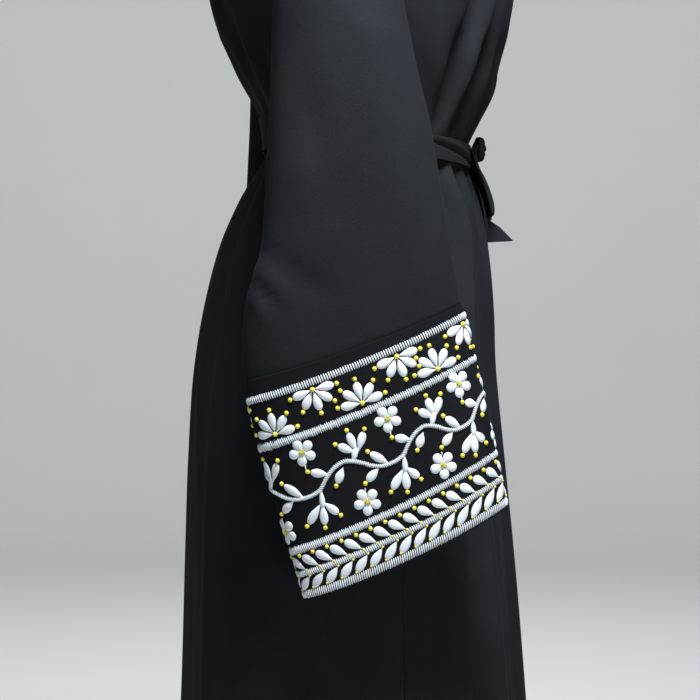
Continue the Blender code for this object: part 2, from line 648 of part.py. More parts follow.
def add_ribbon(name, route, steps):
    """A flat strip along a route in front of the skirt."""
    rows = np.arange(len(route))
    places = np.linspace(0, len(route) - 1, steps)
    anchors = np.array([skirt_front(p.x, p.z, p.clear) for p in route])
    line = np.stack([curve_through(rows, anchors[:, axis], places) for axis in range(3)], axis=-1)
    widths = curve_through(rows, column_of(route, "width"), places)
    twists = np.radians(curve_through(rows, column_of(route, "twist"), places))
    run = np.gradient(line, axis=0)
    run /= np.linalg.norm(run, axis=1, keepdims=True)
    across = np.array([1.0, 0.0, 0.0]) - run * run[:, :1]
    across /= np.linalg.norm(across, axis=1, keepdims=True)
    face = np.cross(run, across)
    turned = across * np.cos(twists)[:, None] + face * np.sin(twists)[:, None]
    normal = np.cross(run, turned)
    shares = np.linspace(-0.5, 0.5, RIBBON_COLUMNS)
    middle = line[:, None] + turned[:, None] * (widths[:, None] * shares)[:, :, None]
    half = normal[:, None] * CLOTH / 2
    add_wall(name, middle + half, middle - half, BELT_CREPE)


def add_knot():
    """The bow's knot: a rounded wrap over the ribbons, with a core between them on the belt."""
    belt_z = (BELT_TOP_Z + BELT_BOTTOM_Z) / 2
    middle_z = belt_z - BELT_SLOPE * float(section_size("front", belt_z))
    face = BELT_STANDOFF + BELT_CLOTH
    back_y = -float(section_size("front", BELT_BOTTOM_Z + KNOT_LIFT)) - face - KNOT_STANDOFF
    core_left, core_right = KNOT_CORE_X
    points = []
    for row in range(KNOT_ROWS + 1):
        climb = -1 + 2 * row / KNOT_ROWS
        round_off = KNOT_END_DEPTH + (1 - KNOT_END_DEPTH) * (1 - abs(climb) ** KNOT_END_POWER) ** 0.5
        z = middle_z + KNOT_HALF_HEIGHT * climb
        core_y = -float(section_size("front", z)) - face - 2 * SEAM_GAP
        for column in range(KNOT_COLUMNS + 1):
            turn = math.pi * column / KNOT_COLUMNS
            x = -KNOT_HALF_WIDTH * math.cos(turn) * max(round_off, KNOT_END_WIDTH)
            y = back_y - KNOT_DEPTH * math.sin(turn) ** KNOT_FACE_POWER * round_off
            points.append(np.array([x, y, z]))
        for x, y in ((core_right, back_y), (core_right, core_y), (core_left, core_y), (core_left, back_y)):
            points.append(np.array([x, y, z]))
    stride = KNOT_COLUMNS + 5
    faces = []
    for row in range(KNOT_ROWS):
        for column in range(stride):
            a, b = row * stride + column, row * stride + (column + 1) % stride
            faces += [(a, b, b + stride), (a, b + stride, a + stride)]
    last = KNOT_ROWS * stride
    faces.append(tuple(range(stride - 1, -1, -1)))
    faces.append(tuple(range(last, last + stride)))
    if signed_volume(points, faces) < 0:
        faces = [face[::-1] for face in faces]
    add_object("belt_knot", points, faces, BELT_CREPE)


def main():
    for old in list(bpy.data.objects):
        bpy.data.objects.remove(old)
    add_panel("back", BACK_GATHERS, ("back_left", "back_right"))
    add_panel("front_right", FRONT_RIGHT_GATHERS, ("front_right",))
    add_panel("front_left", FRONT_LEFT_GATHERS, ("front_left",))
    add_sleeves()
    add_belt()
    add_knot()
    add_ribbon("belt_loop_right", RIGHT_LOOP, LOOP_STEPS)
    add_ribbon("belt_loop_left", LEFT_LOOP, LOOP_STEPS)
    add_ribbon("belt_tail_right", RIGHT_TAIL, TAIL_STEPS)
    add_ribbon("belt_tail_left", LEFT_TAIL, TAIL_STEPS)


main()
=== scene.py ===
"""An abaya on its CAD frame: panels of black crepe, a tie belt with a bow, and embroidered cuffs.

Metres, +Z up. The robe faces -Y and the wearer's right is -X, as in the frame.
The cloth pieces stand on the same form as the CAD's, with finer folds laid over it.
"""

import math
from collections import namedtuple

import bpy
import numpy as np
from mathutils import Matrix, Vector


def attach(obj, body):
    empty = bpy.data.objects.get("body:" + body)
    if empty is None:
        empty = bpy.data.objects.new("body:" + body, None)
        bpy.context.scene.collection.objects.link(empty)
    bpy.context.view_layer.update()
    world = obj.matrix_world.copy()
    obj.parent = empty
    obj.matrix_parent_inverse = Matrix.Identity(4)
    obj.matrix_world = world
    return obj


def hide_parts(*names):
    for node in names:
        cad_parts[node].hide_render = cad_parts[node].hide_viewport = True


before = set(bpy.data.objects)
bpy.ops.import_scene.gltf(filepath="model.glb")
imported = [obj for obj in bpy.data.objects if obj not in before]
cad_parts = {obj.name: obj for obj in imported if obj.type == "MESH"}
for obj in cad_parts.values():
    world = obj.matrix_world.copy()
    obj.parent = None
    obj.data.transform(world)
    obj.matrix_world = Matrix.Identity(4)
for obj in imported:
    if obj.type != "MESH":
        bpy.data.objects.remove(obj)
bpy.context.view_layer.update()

MM = 0.001


def rows_of(kind, *rows):
    """A table: each row's values under the kind's column names."""
    return tuple(kind(*row) for row in rows)


# The photograph's camera, square on to the wearer's right side
FRAME_PX = 700
FOCAL_PX = 2200
SENSOR_MM = 36.0
CAMERA_PLACE = (-2.2, 0.007, -0.605)
CAMERA_TURN = (math.radians(90), 0.0, math.radians(-90))

# Driving sizes of the robe, as in the CAD but for the seam gap, narrower so that no light
# leaks through the seams
CLOTH = 0.0015
SEAM_GAP = 0.00015
SHOULDER_TIP_X = 0.197
SHOULDER_SLOPE = 0.36
SHOULDER_ROUNDING = 0.09
NECK_HALF_WIDTH = 0.075
NECK_DROP_BACK = 0.040
NECK_DROP_FRONT = 0.095
UNDERARM_Z = -0.235
HEM_Z = -1.400
FRONT_OVERLAP = 0.020
UNDERLAP_DEPTH = 0.0022
UNDERLAP_BLEND = 0.045
UNDERLAP_FLAT = 0.004
SECTION_POWER = 2.3
UPPER_POWER = 2.4
YOKE_EASE_ACROSS = 1.20
YOKE_EASE_UP = 1.15

# Driving sizes of the tie belt, which sits lower in front. The knot pulls its upper and its
# lower edge down there, by more than in the CAD
BELT_TOP_Z = -0.3820
BELT_BOTTOM_Z = -0.4140
BELT_SLOPE = 0.060
BELT_CLOTH = 0.0018
GATHER_PINCH = 0.35
PINCH_REACH = 0.055
RIDGE_AT_BELT = 0.0030
BELT_STANDOFF = RIDGE_AT_BELT + 0.0014
BELT_PULL_TOP = 0.0155
BELT_PULL_LOW = 0.0060
BELT_PULL_START = -0.35
BELT_PULL_SPAN = 0.80

# The robe's section at each height: half width, and how far it reaches in front and behind
Section = namedtuple("Section", "z half_width front back")
SECTIONS = rows_of(
    Section,
    (0.030, 0.211, 0.058, 0.060),
    (-0.040, 0.211, 0.074, 0.086),
    (-0.090, 0.211, 0.096, 0.112),
    (-0.140, 0.210, 0.122, 0.133),
    (-0.185, 0.207, 0.144, 0.145),
    (-0.235, 0.197, 0.156, 0.149),
    (-0.280, 0.186, 0.151, 0.1370),
    (-0.320, 0.173, 0.139, 0.1170),
    (-0.355, 0.157, 0.130, 0.1010),
    (-0.380, 0.147, 0.119, 0.0910),
    (-0.410, 0.144, 0.106, 0.0880),
    (-0.445, 0.153, 0.111, 0.1030),
    (-0.500, 0.172, 0.1210, 0.128),
    (-0.560, 0.187, 0.1260, 0.145),
    (-0.620, 0.196, 0.1290, 0.156),
    (-0.705, 0.203, 0.1370, 0.163),
    (-0.805, 0.208, 0.1470, 0.167),
    (-0.955, 0.217, 0.1590, 0.170),
    (-1.100, 0.227, 0.1690, 0.174),
    (-1.250, 0.238, 0.1790, 0.181),
    (-1.400, 0.248, 0.1880, 0.188),
)

# The side seams lie a little forward of the side below the waist
SeamTurn = namedtuple("SeamTurn", "z degrees")
SEAM_TURNS = rows_of(
    SeamTurn,
    (0.0, 0.0),
    (UNDERARM_Z, 0.0),
    (-0.40, 10.0),
    (-0.60, 15.0),
    (-0.95, 15.5),
    (HEM_Z, 15.5),
)

# Gathers from each side seam: width as a share, height at full swell, how far each reaches
# above and below the belt, and how high it still stands at the hem
Gather = namedtuple("Gather", "share height above below hem_height")
GATHERS = {
    "front_right": rows_of(
        Gather,
        (1.20, 0.0045, 0.09, 0.12, 0.000),
        (1.10, 0.0060, 0.13, 0.30, 0.006),
        (0.90, 0.0080, 0.17, 0.90, 0.013),
        (0.95, 0.0040, 0.15, 0.25, -0.007),
        (1.00, 0.0085, 0.22, 0.95, 0.010),
        (0.85, 0.0050, 0.20, 0.20, 0.004),
    ),
    "front_left": rows_of(
        Gather,
        (1.10, 0.0050, 0.10, 0.16, 0.000),
        (1.05, 0.0065, 0.12, 0.40, 0.008),
        (0.95, 0.0055, 0.16, 0.22, -0.006),
        (1.00, 0.0080, 0.19, 0.90, 0.012),
        (0.90, 0.0060, 0.16, 0.28, 0.000),
        (1.00, 0.0050, 0.12, 0.18, 0.000),
    ),
    "back": rows_of(
        Gather,
        (1.15, 0.0050, 0.08, 0.14, 0.000),
        (0.95, 0.0065, 0.11, 0.30, 0.008),
        (1.05, 0.0055, 0.14, 0.18, -0.004),
        (0.90, 0.0080, 0.18, 0.55, 0.012),
        (1.00, 0.0070, 0.20, 0.26, 0.000),
        (1.10, 0.0085, 0.21, 0.50, 0.010),
        (0.95, 0.0065, 0.20, 0.24, -0.005),
        (0.90, 0.0080, 0.17, 0.60, 0.012),
        (1.10, 0.0055, 0.13, 0.20, 0.000),
        (0.95, 0.0065, 0.11, 0.34, 0.009),
        (1.00, 0.0050, 0.08, 0.15, 0.000),
    ),
}

# The panels' finer grid: columns for each gather, rows between the CAD's rows, and how many
# rows are eased at the underarm, how often, and how far from the panel's edges
COLUMNS_PER_GATHER = 12
FINE_ROWS = 6
YOKE_ROWS = 36
JOIN_ROWS = 8
JOIN_EASINGS = 14
JOIN_STRENGTH = 0.5
JOIN_MARGIN = 0.10
NECK_COLUMNS = {"back": (42, 90), "front_right": (36,), "front_left": (36,)}
SKIRT_ROWS_Z = (
    -1.400, -1.392, -1.380, -1.230, -1.060, -0.900, -0.760, -0.650, -0.570, -0.510, -0.466,
    -0.436, -0.417, -0.398, -0.379, -0.356, -0.322, -0.278, UNDERARM_Z,
)

# Sewn edges: a hem turned up inside, and panels that dip into their seams
HEM_HEIGHT = 0.014
HEM_LIFT = 0.0006
HEM_STEP = 0.002
SEAM_DIP = 0.0008
SEAM_REACH = 0.30

# Where the creases fade: towards their ends, the panel's edges and the shoulders
CREASE_END_POWER = 0.6
CREASE_EDGE_FADE = 0.02
CREASE_TOP_Z = 0.02
CREASE_TOP_FADE = 0.10

# Main creases laid on the panels: degrees round from the right side (90 is the front,
# -90 the back), heights, how far the cloth stands out or in there, and half the crease's width
Crease = namedtuple("Crease", "degrees heights lift reach")
BODY_CREASES = rows_of(
    Crease,
    ((61, 60, 62, 66), (-0.402, -0.362, -0.325, -0.290), 0.0030, 0.008),
    ((51, 52, 56, 61, 64), (-0.405, -0.352, -0.322, -0.280, -0.215), -0.0185, 0.0085),
    ((43, 46, 49, 53, 58), (-0.402, -0.362, -0.325, -0.282, -0.190), 0.0055, 0.007),
    ((38, 40, 43, 46, 50), (-0.402, -0.360, -0.322, -0.284, -0.190), -0.0175, 0.0090),
    ((72, 74, 80, 84), (-0.402, -0.340, -0.260, -0.170), -0.0050, 0.009),
    ((43, 44, 48, 49, 47), (-0.428, -0.454, -0.486, -0.530, -0.640), -0.0170, 0.007),
    ((48, 50, 54, 57, 58), (-0.428, -0.460, -0.498, -0.540, -0.660), 0.0050, 0.008),
    ((54, 57, 62, 65, 67), (-0.432, -0.467, -0.496, -0.540, -0.660), -0.0165, 0.0075),
    ((65, 68, 73, 76), (-0.432, -0.470, -0.520, -0.600), 0.0035, 0.009),
    ((52, 48, 46, 46), (-0.640, -0.780, -0.900, -1.120), -0.0260, 0.013),
    ((42, 38, 35, 30), (-0.700, -0.800, -0.900, -1.150), 0.0060, 0.018),
    ((68, 62, 60, 58), (-0.660, -0.800, -0.900, -1.200), 0.0065, 0.018),
    ((-66, -72, -70, -66), (-0.430, -0.500, -0.600, -0.740), 0.0045, 0.014),
    ((-58, -62, -58, -52), (-0.430, -0.490, -0.570, -0.680), -0.0035, 0.014),
    ((-81, -79, -72, -62), (-0.367, -0.328, -0.282, -0.230), 0.0030, 0.009),
    ((-71, -66, -58, -50), (-0.367, -0.330, -0.284, -0.240), -0.0035, 0.010),
    ((-100, -104, -108, -110), (-0.430, -0.520, -0.640, -0.900), 0.0050, 0.020),
    ((-128, -124, -120, -112), (-0.420, -0.500, -0.620, -0.800), -0.0045, 0.018),
    ((-95, -98, -104, -112), (-0.365, -0.310, -0.250, -0.180), 0.0035, 0.011),
    ((-120, -116, -112, -106), (-0.365, -0.310, -0.255, -0.200), -0.0035, 0.011),
    ((118, 117, 110, 104), (-0.402, -0.340, -0.270, -0.190), 0.0030, 0.009),
    ((128, 124, 117, 112), (-0.405, -0.350, -0.280, -0.200), -0.0045, 0.009),
    ((139, 136, 130, 124), (-0.405, -0.360, -0.292, -0.220), 0.0035, 0.010),
    ((131, 130, 126, 122), (-0.430, -0.480, -0.560, -0.690), 0.0045, 0.012),
    ((124, 126, 130, 136), (-0.600, -0.760, -0.880, -1.100), -0.0055, 0.021),
    ((110, 112, 116, 118), (-0.660, -0.800, -0.920, -1.200), 0.0050, 0.022),
    ((212, 208, 202, 198), (-0.430, -0.500, -0.600, -0.760), 0.0045, 0.015),
    ((226, 224, 220, 214), (-0.430, -0.510, -0.620, -0.820), -0.0040, 0.016),
)

# The sleeve's section at each station: its middle, the points of its front and back folds,
# and half its thickness towards the outside, with the rise of the outside above the middle
Station = namedtuple("Station", "centre_x front_y front_z back_y back_z side_x side_z droop")
SLEEVE_STATIONS = rows_of(
    Station,
    (-0.2105, -0.0575, -0.144, 0.0595, -0.144, 0.0095, 0.0938, 0.000),
    (-0.2243, -0.0560, -0.154, 0.0610, -0.155, 0.0188, 0.0888, 0.000),
    (-0.2370, -0.0535, -0.172, 0.0630, -0.174, 0.0270, 0.0800, 0.000),
    (-0.2485, -0.0505, -0.196, 0.0660, -0.199, 0.0345, 0.0675, 0.000),
    (-0.2578, -0.0465, -0.225, 0.0700, -0.229, 0.0403, 0.0520, 0.000),
    (-0.2630, -0.0430, -0.258, 0.0730, -0.262, 0.0430, 0.0350, 0.000),
    (-0.2650, -0.0405, -0.296, 0.0755, -0.302, 0.0440, 0.0150, 0.000),
    (-0.2660, -0.0525, -0.358, 0.0770, -0.362, 0.0420, 0.0050, 0.001),
    (-0.2650, -0.0635, -0.404, 0.0793, -0.414, 0.0400, 0.0020, 0.002),
    (-0.2640, -0.0722, -0.455, 0.0820, -0.470, 0.0380, 0.0000, 0.003),
    (-0.2630, -0.0794, -0.500, 0.0860, -0.516, 0.0360, 0.0000, 0.004),
    (-0.2620, -0.0848, -0.534, 0.0975, -0.556, 0.0340, 0.0000, 0.005),
    (-0.2610, -0.0888, -0.556, 0.1020, -0.596, 0.0325, 0.0000, 0.006),
)
CUFF_STATIONS = rows_of(
    Station,
    (-0.2600, -0.0915, -0.5640, 0.1005, -0.6320, 0.0315, 0.0000, 0.006),
    (-0.2590, -0.0975, -0.5850, 0.0965, -0.6560, 0.0310, 0.0000, 0.006),
    (-0.2570, -0.1050, -0.6180, 0.0870, -0.6930, 0.0300, 0.0000, 0.006),
    (-0.2550, -0.1145, -0.6570, 0.0745, -0.7370, 0.0290, 0.0000, 0.006),
    (-0.2530, -0.1230, -0.6980, 0.0610, -0.7790, 0.0285, 0.0000, 0.006),
    (-0.2510, -0.1330, -0.7440, 0.0470, -0.8260, 0.0280, 0.0000, 0.006),
)
SLEEVE_POWER = 2.15
SLEEVE_COLUMNS = 120
SLEEVE_FINE_ROWS = 6
SLEEVE_SIDE_BLEND = 0.3
CUFF_FINE_ROWS = 12
CUFF_SEAM_STEP = 0.02
CUFF_HEM_STEP = 0.012
ARMHOLE_STEP = 0.0005
LEFT_SLEEVE_BACK_SHIFT = 0.043
LEFT_SLEEVE_SHIFT_STATIONS = 7.0

# Creases of the right sleeve, seen from the side: places along and heights. Outer ones show in
# the photograph, inner ones face the body. The pucker at the elbow's back fold comes first
ArmCrease = namedtuple("ArmCrease", "outer along heights lift reach")
ARM_CREASES = rows_of(
    ArmCrease,
    (True, (0.094, 0.083, 0.070), (-0.540, -0.553, -0.566), -0.0026, 0.0075),
    (True, (0.094, 0.084, 0.074, 0.060), (-0.528, -0.541, -0.552, -0.560), 0.0020, 0.0070),
    (True, (0.096, 0.086, 0.078), (-0.552, -0.566, -0.580), 0.0018, 0.0070),
    (True, (0.090, 0.070, 0.048, 0.020), (-0.520, -0.528, -0.545, -0.556), -0.0020, 0.010),
    (True, (0.066, 0.050, 0.030, 0.010), (-0.300, -0.370, -0.440, -0.510), -0.0025, 0.018),
    (True, (0.006, -0.008, -0.022, -0.034), (-0.250, -0.340, -0.430, -0.540), 0.0025, 0.020),
    (True, (-0.030, -0.044, -0.060, -0.070), (-0.330, -0.400, -0.470, -0.540), -0.0022, 0.014),
    (True, (-0.040, -0.056, -0.066, -0.080), (-0.585, -0.640, -0.700, -0.760), 0.0012, 0.020),
    (False, (0.092, 0.078, 0.060), (-0.545, -0.556, -0.572), -0.0040, 0.0060),
    (False, (0.060, 0.040, 0.018, 0.000), (-0.320, -0.390, -0.450, -0.530), -0.0030, 0.018),
    (False, (0.000, -0.016, -0.034, -0.050), (-0.260, -0.350, -0.440, -0.540), 0.0030, 0.020),
)


# The robe's form, as in the CAD


def smooth_step(share):
    """0 to 1 with a soft start and end."""
    held = np.clip(share, 0.0, 1.0)
    return held * held * (3.0 - 2.0 * held)


def curve_through(places, values, where):
    """A smooth curve through the values, read at the places asked for."""
    places = np.asarray(places, float)
    values = np.asarray(values, float)
    if places[0] > places[-1]:
        places, values = places[::-1], values[::-1]
    where = np.clip(where, places[0], places[-1])
    slopes = np.gradient(values, places)
    at = np.clip(np.searchsorted(places, where, side="right") - 1, 0, len(places) - 2)
    span = places[at + 1] - places[at]
    t = (where - places[at]) / span
    return (
        values[at] * (2 * t**3 - 3 * t**2 + 1)
        + values[at + 1] * (3 * t**2 - 2 * t**3)
        + slopes[at] * span * (t**3 - 2 * t**2 + t)
        + slopes[at + 1] * span * (t**3 - t**2)
    )


def curve_points(points, places):
    """The smooth curve through a line of points. Places count its points."""
    rows = np.arange(len(points))
    return np.stack([curve_through(rows, axis, places) for axis in np.transpose(points)], axis=-1)


def passed_along(steps):
    """How far along a line each of its points lies, from the steps between them."""
    return np.concatenate([[0.0], np.cumsum(np.linalg.norm(steps, axis=1))])


def column_of(rows, name):
    return [getattr(row, name) for row in rows]


def unit(vectors):
    return vectors / np.linalg.norm(vectors, axis=-1, keepdims=True)


def section_size(name, z):
    return curve_through(column_of(SECTIONS, "z"), column_of(SECTIONS, name), z)


def seam_turn(z):
    turns = curve_through(column_of(SEAM_TURNS, "z"), column_of(SEAM_TURNS, "degrees"), z)
    return np.radians(turns)


def round_form(turn, z):
    """The robe's form with no gathers. Turn 0 is the right side, a quarter turn is the front."""
    across, ahead = np.cos(turn), np.sin(turn)
    reach = (np.abs(across) ** SECTION_POWER + np.abs(ahead) ** SECTION_POWER) ** (-1 / SECTION_POWER)
    depth = np.where(ahead > 0, section_size("front", z), section_size("back", z))
    x = -section_size("half_width", z) * across * reach
    y = -depth * ahead * reach
    return np.stack([x, y, z + 0 * turn], axis=-1)


def shoulder_height(x):
    return -(np.abs(x) - NECK_HALF_WIDTH) * SHOULDER_SLOPE


def neck_height(x, drop):
    """The neck edge: an ellipse below the level of the shoulder seams' inner ends."""
    inside = np.clip(1.0 - (x / NECK_HALF_WIDTH) ** 2, 0.0, 1.0)
    return np.where(inside > 0, -drop * np.sqrt(inside), shoulder_height(x))


def yoke_depth(x, z, side):
    """How far the cloth stands from the shoulder line's plane, rounded over the shoulder."""
    width = section_size("half_width", z)
    across = np.clip(np.abs(x) / width, 0.0, 1.0)
    flat = section_size(side, z) * (1.0 - across**UPPER_POWER) ** (1 / UPPER_POWER)
    below = np.clip((shoulder_height(x) - z) / SHOULDER_ROUNDING, 0.0, 1.0)
    return flat * np.sqrt(1.0 - (1.0 - below) ** 2)


def gather_edges(gathers):
    """The gathers' borders as shares of the panel."""
    shares = np.array(column_of(gathers, "share"))
    return np.concatenate([[0.0], np.cumsum(shares)]) / shares.sum()


def gather_swell(gather, z):
    """How high one gather stands at this height: pinched by the belt, fading above and below."""
    above = np.maximum(z - BELT_TOP_Z, 0.0)
    below = np.maximum(BELT_BOTTOM_Z - z, 0.0)
    pinch = GATHER_PINCH + (1 - GATHER_PINCH) * smooth_step((above + below) / PINCH_REACH)
    fade = (1.0 - smooth_step(above / gather.above)) * (1.0 - smooth_step(below / gather.below))
    hem = smooth_step(below / (BELT_BOTTOM_Z - HEM_Z)) * gather.hem_height
    return gather.height * pinch * fade + hem


def gather_height(gathers, share, z):
    """The gathers' height at a share of the panel's width."""
    edges = gather_edges(gathers)
    within = np.clip(share, 0.0, 1.0)
    which = np.clip(np.searchsorted(edges, within, side="right") - 1, 0, len(gathers) - 1)
    place = (within - edges[which]) / (edges[which + 1] - edges[which])
    bell = 0.5 - 0.5 * np.cos(2 * math.pi * place)
    swells = np.stack([gather_swell(gather, z) for gather in gathers])
    chosen = np.take_along_axis(swells, np.broadcast_to(which, swells.shape[1:])[None], axis=0)[0]
    return chosen * bell


def gather_columns(gathers):
    """Shares of the panel at each grid column, so that every ridge and trough has one."""
    edges = gather_edges(gathers)
    steps = np.arange(COLUMNS_PER_GATHER) / COLUMNS_PER_GATHER
    inner = [low + (high - low) * steps for low, high in zip(edges[:-1], edges[1:])]
    return np.concatenate([*inner, [1.0]])


def panel_turns(panel, shares, z):
    """The turn of each column at height z, from one border of the panel to the other."""
    seam = seam_turn(z)
    edge = np.arcsin(np.clip(FRONT_OVERLAP / section_size("half_width", z), 0, 1))
    start, end = {
        "front_right": (seam, math.pi / 2 + edge),
        "front_left": (math.pi - seam, math.pi / 2 - edge),
        "back": (math.pi - seam, 2 * math.pi + seam),
    }[panel]
    return start + (end - start) * shares


def neck_columns_x(start_x, end_x, count):
    """Columns spread evenly round the neck's ellipse, from one place across it to another."""
    start, end = (math.acos(np.clip(x / NECK_HALF_WIDTH, -1, 1)) for x in (start_x, end_x))
    return NECK_HALF_WIDTH * np.cos(np.linspace(start, end, count))


def yoke_top_x(panel, shares):
    """Where each column ends on the shoulder line and the neck edge."""
    first, last = NECK_COLUMNS[panel][0], NECK_COLUMNS[panel][-1]
    if panel == "back":
        left = np.linspace(SHOULDER_TIP_X, NECK_HALF_WIDTH, first + 1)
        neck = neck_columns_x(NECK_HALF_WIDTH, -NECK_HALF_WIDTH, last - first + 1)
        right = np.linspace(-NECK_HALF_WIDTH, -SHOULDER_TIP_X, len(shares) - last)
        return np.concatenate([left, neck[1:], right[1:]])
    side = -1.0 if panel == "front_right" else 1.0
    shoulder = side * np.linspace(SHOULDER_TIP_X, NECK_HALF_WIDTH, first + 1)
    neck = neck_columns_x(side * NECK_HALF_WIDTH, -side * FRONT_OVERLAP, len(shares) - first)
    return np.concatenate([shoulder, neck[1:]])


def yoke_rows(panel, shares):
    """The panel above the underarm: up to the armhole's top, the shoulder and the neck."""
    front, back = ("front", -1.0, NECK_DROP_FRONT), ("back", 1.0, NECK_DROP_BACK)
    side, sign, drop = back if panel == "back" else front
    start_x = round_form(panel_turns(panel, shares, UNDERARM_Z), UNDERARM_Z)[:, 0]
    top_x = yoke_top_x(panel, shares)
    top_z = neck_height(top_x, drop)
    made = []
    for row in range(1, YOKE_ROWS + 1):
        climb = row / YOKE_ROWS
        x = start_x + (top_x - start_x) * climb**YOKE_EASE_ACROSS
        z = UNDERARM_Z + (top_z - UNDERARM_Z) * math.sin(climb * math.pi / 2) ** YOKE_EASE_UP
        depth = np.maximum(yoke_depth(x, z, side), SEAM_GAP / 2)
        made.append(np.stack([x, sign * depth, z], axis=-1))
    return made


def distance_to_route(points, route):
    """(each point's distance to a broken line, how far along the line it lies, 0 to 1)."""
    best = np.full(points.shape[:-1], np.inf)
    along = np.zeros(points.shape[:-1])
    steps = np.diff(route, axis=0)
    passed = passed_along(steps)
    for start, step, before in zip(route, steps, passed):
        run = np.linalg.norm(step)
        t = np.clip(((points - start) @ step) / run**2, 0.0, 1.0)
        gap = np.linalg.norm(points - start - t[..., None] * step, axis=-1)
        nearer = gap < best
        best = np.where(nearer, gap, best)
        along = np.where(nearer, (before + t * run) / passed[-1], along)
    return best, along


def crease_lift(points, route, lift, reach):
    """A soft ridge or trough along a route, fading at both ends."""
    line = curve_points(route, np.linspace(0, len(route) - 1, 4 * len(route)))
    gap, along = distance_to_route(points, line)
    fade = np.sin(math.pi * np.clip(along, 0.02, 0.98)) ** CREASE_END_POWER
    return lift * fade * np.exp(-((gap / reach) ** 2))


def body_creases(points):
    """All the listed creases of the panels at these points."""
    z = points[..., 2]
    width = section_size("half_width", z)
    depth = np.where(points[..., 1] < 0, section_size("front", z), section_size("back", z))
    turn = np.degrees(np.arctan2(-points[..., 1] / depth, -points[..., 0] / width))
    radius = (width + depth) / 2
    total = np.zeros(z.shape)
    for crease in BODY_CREASES:
        middle = (crease.degrees[0] + crease.degrees[-1]) / 2
        nearest = (turn - middle + 180) % 360 - 180 + middle
        unrolled = np.stack([np.radians(nearest) * radius, z], axis=-1)
        heights = np.array(crease.heights)
        side = "front" if 0 < middle < 180 else "back"
        route_radius = (section_size("half_width", heights) + section_size(side, heights)) / 2
        route = np.stack([np.radians(crease.degrees) * route_radius, heights], axis=-1)
        total += crease_lift(unrolled, route, crease.lift, crease.reach)
    return total


def between_rows(values, times):
    """The values with more of them evenly between each two."""
    places = np.linspace(0, len(values) - 1, (len(values) - 1) * times + 1)
    return np.interp(places, np.arange(len(values)), values)


def ease_join(grid, join, weight):
    """Softens the line where the yoke's rows meet the lower ones, away from the panel's edges."""
    below, near, above = (
        slice(join - JOIN_ROWS + step, join + JOIN_ROWS + step) for step in (-1, 0, 1))
    for _ in range(JOIN_EASINGS):
        level = (grid[below] + grid[above]) / 2
        grid[near] += (level - grid[near]) * JOIN_STRENGTH * weight[None, :, None]


def panel_form(panel):
    """(rows of the panel's form, rows of its outward directions, rows of how far it stands out)."""
    gathers = GATHERS[panel]
    shares = gather_columns(gathers)
    step = shares[1] - shares[0]
    wider = np.concatenate([[-step], shares, [1.0 + step]])
    heights_z = np.concatenate([SKIRT_ROWS_Z[:2], between_rows(SKIRT_ROWS_Z[2:], FINE_ROWS)])
    lower = [round_form(panel_turns(panel, wider, z), z) for z in heights_z]
    upper = [
        np.concatenate([[2 * row[0] - row[1]], row, [2 * row[-1] - row[-2]]])
        for row in yoke_rows(panel, shares)
    ]
    grid = np.array(lower + upper)
    ease_join(grid, len(lower), smooth_step(np.minimum(wider, 1 - wider) / JOIN_MARGIN))
    along = np.gradient(grid, axis=1)
    up = np.gradient(grid, axis=0)
    outward = np.cross(along, up) if panel != "front_left" else np.cross(up, along)
    grid, outward = grid[:, 1:-1], unit(outward)[:, 1:-1]
    level = grid[:, :, 2] - BELT_SLOPE * grid[:, :, 1]
    swell = np.stack([gather_height(gathers, shares, row) for row in level])
    edge_fade = smooth_step(np.minimum(shares, 1 - shares) / CREASE_EDGE_FADE)
    top_fade = smooth_step((CREASE_TOP_Z - grid[:, :, 2]) / CREASE_TOP_FADE)
    swell += body_creases(grid) * edge_fade * top_fade
    if panel == "front_left":
        tucked = 1.0 - smooth_step((grid[:, :, 0] - FRONT_OVERLAP - UNDERLAP_FLAT) / UNDERLAP_BLEND)
        swell = swell * (1.0 - tucked) - UNDERLAP_DEPTH * tucked
    swell += HEM_LIFT * smooth_step((HEM_Z + HEM_HEIGHT - grid[:, :, 2]) / HEM_STEP)
    return grid, outward, swell


def part_edges(points, gap):
    """Moves both side borders of a grid in by half a seam gap."""
    moved = points.copy()
    for edge, inner in ((0, 1), (-1, -2)):
        moved[:, edge] += unit(points[:, inner] - points[:, edge]) * gap / 2
    return moved


def hold_side(points, panel):
    """Keeps a front or back panel on its own side of the shoulder seam."""
    above = points[:, :, 2] > UNDERARM_Z + MM
    y = points[:, :, 1]
    kept = np.maximum(y, SEAM_GAP / 2) if panel == "back" else np.minimum(y, -SEAM_GAP / 2)
    held = points.copy()
    held[:, :, 1] = np.where(above, kept, y)
    return held


def armhole_loop(turns):
    """The armhole's edge, read round from the front by turn. A quarter turn is the top."""
    top, bottom = shoulder_height(SHOULDER_TIP_X), UNDERARM_Z
    z = (top + bottom) / 2 + (top - bottom) / 2 * np.sin(turns)
    x = np.full(len(turns), SHOULDER_TIP_X)
    front = -yoke_depth(x, z, "front")
    back = yoke_depth(x, z, "back")
    y = np.where(np.cos(turns) > 0, front, back)
    return np.stack([-x, y, z], axis=-1)


def sleeve_ring(station, turns):
    """One ring of the sleeve. Turn 0 is its front fold and a quarter turn its outside."""
    across, side = np.cos(turns), np.sin(turns)
    reach = (np.abs(across) ** SLEEVE_POWER + np.abs(side) ** SLEEVE_POWER) ** (-1 / SLEEVE_POWER)
    middle_y = (station.front_y + station.back_y) / 2
    middle_z = (station.front_z + station.back_z) / 2
    sag = station.droop * np.abs(side * reach) ** 2
    x = station.centre_x - station.side_x * side * reach
    y = middle_y + (station.front_y - middle_y) * across * reach
    z = middle_z + (station.front_z - middle_z) * across * reach + station.side_z * side * reach - sag
    return np.stack([x, y, z], axis=-1)


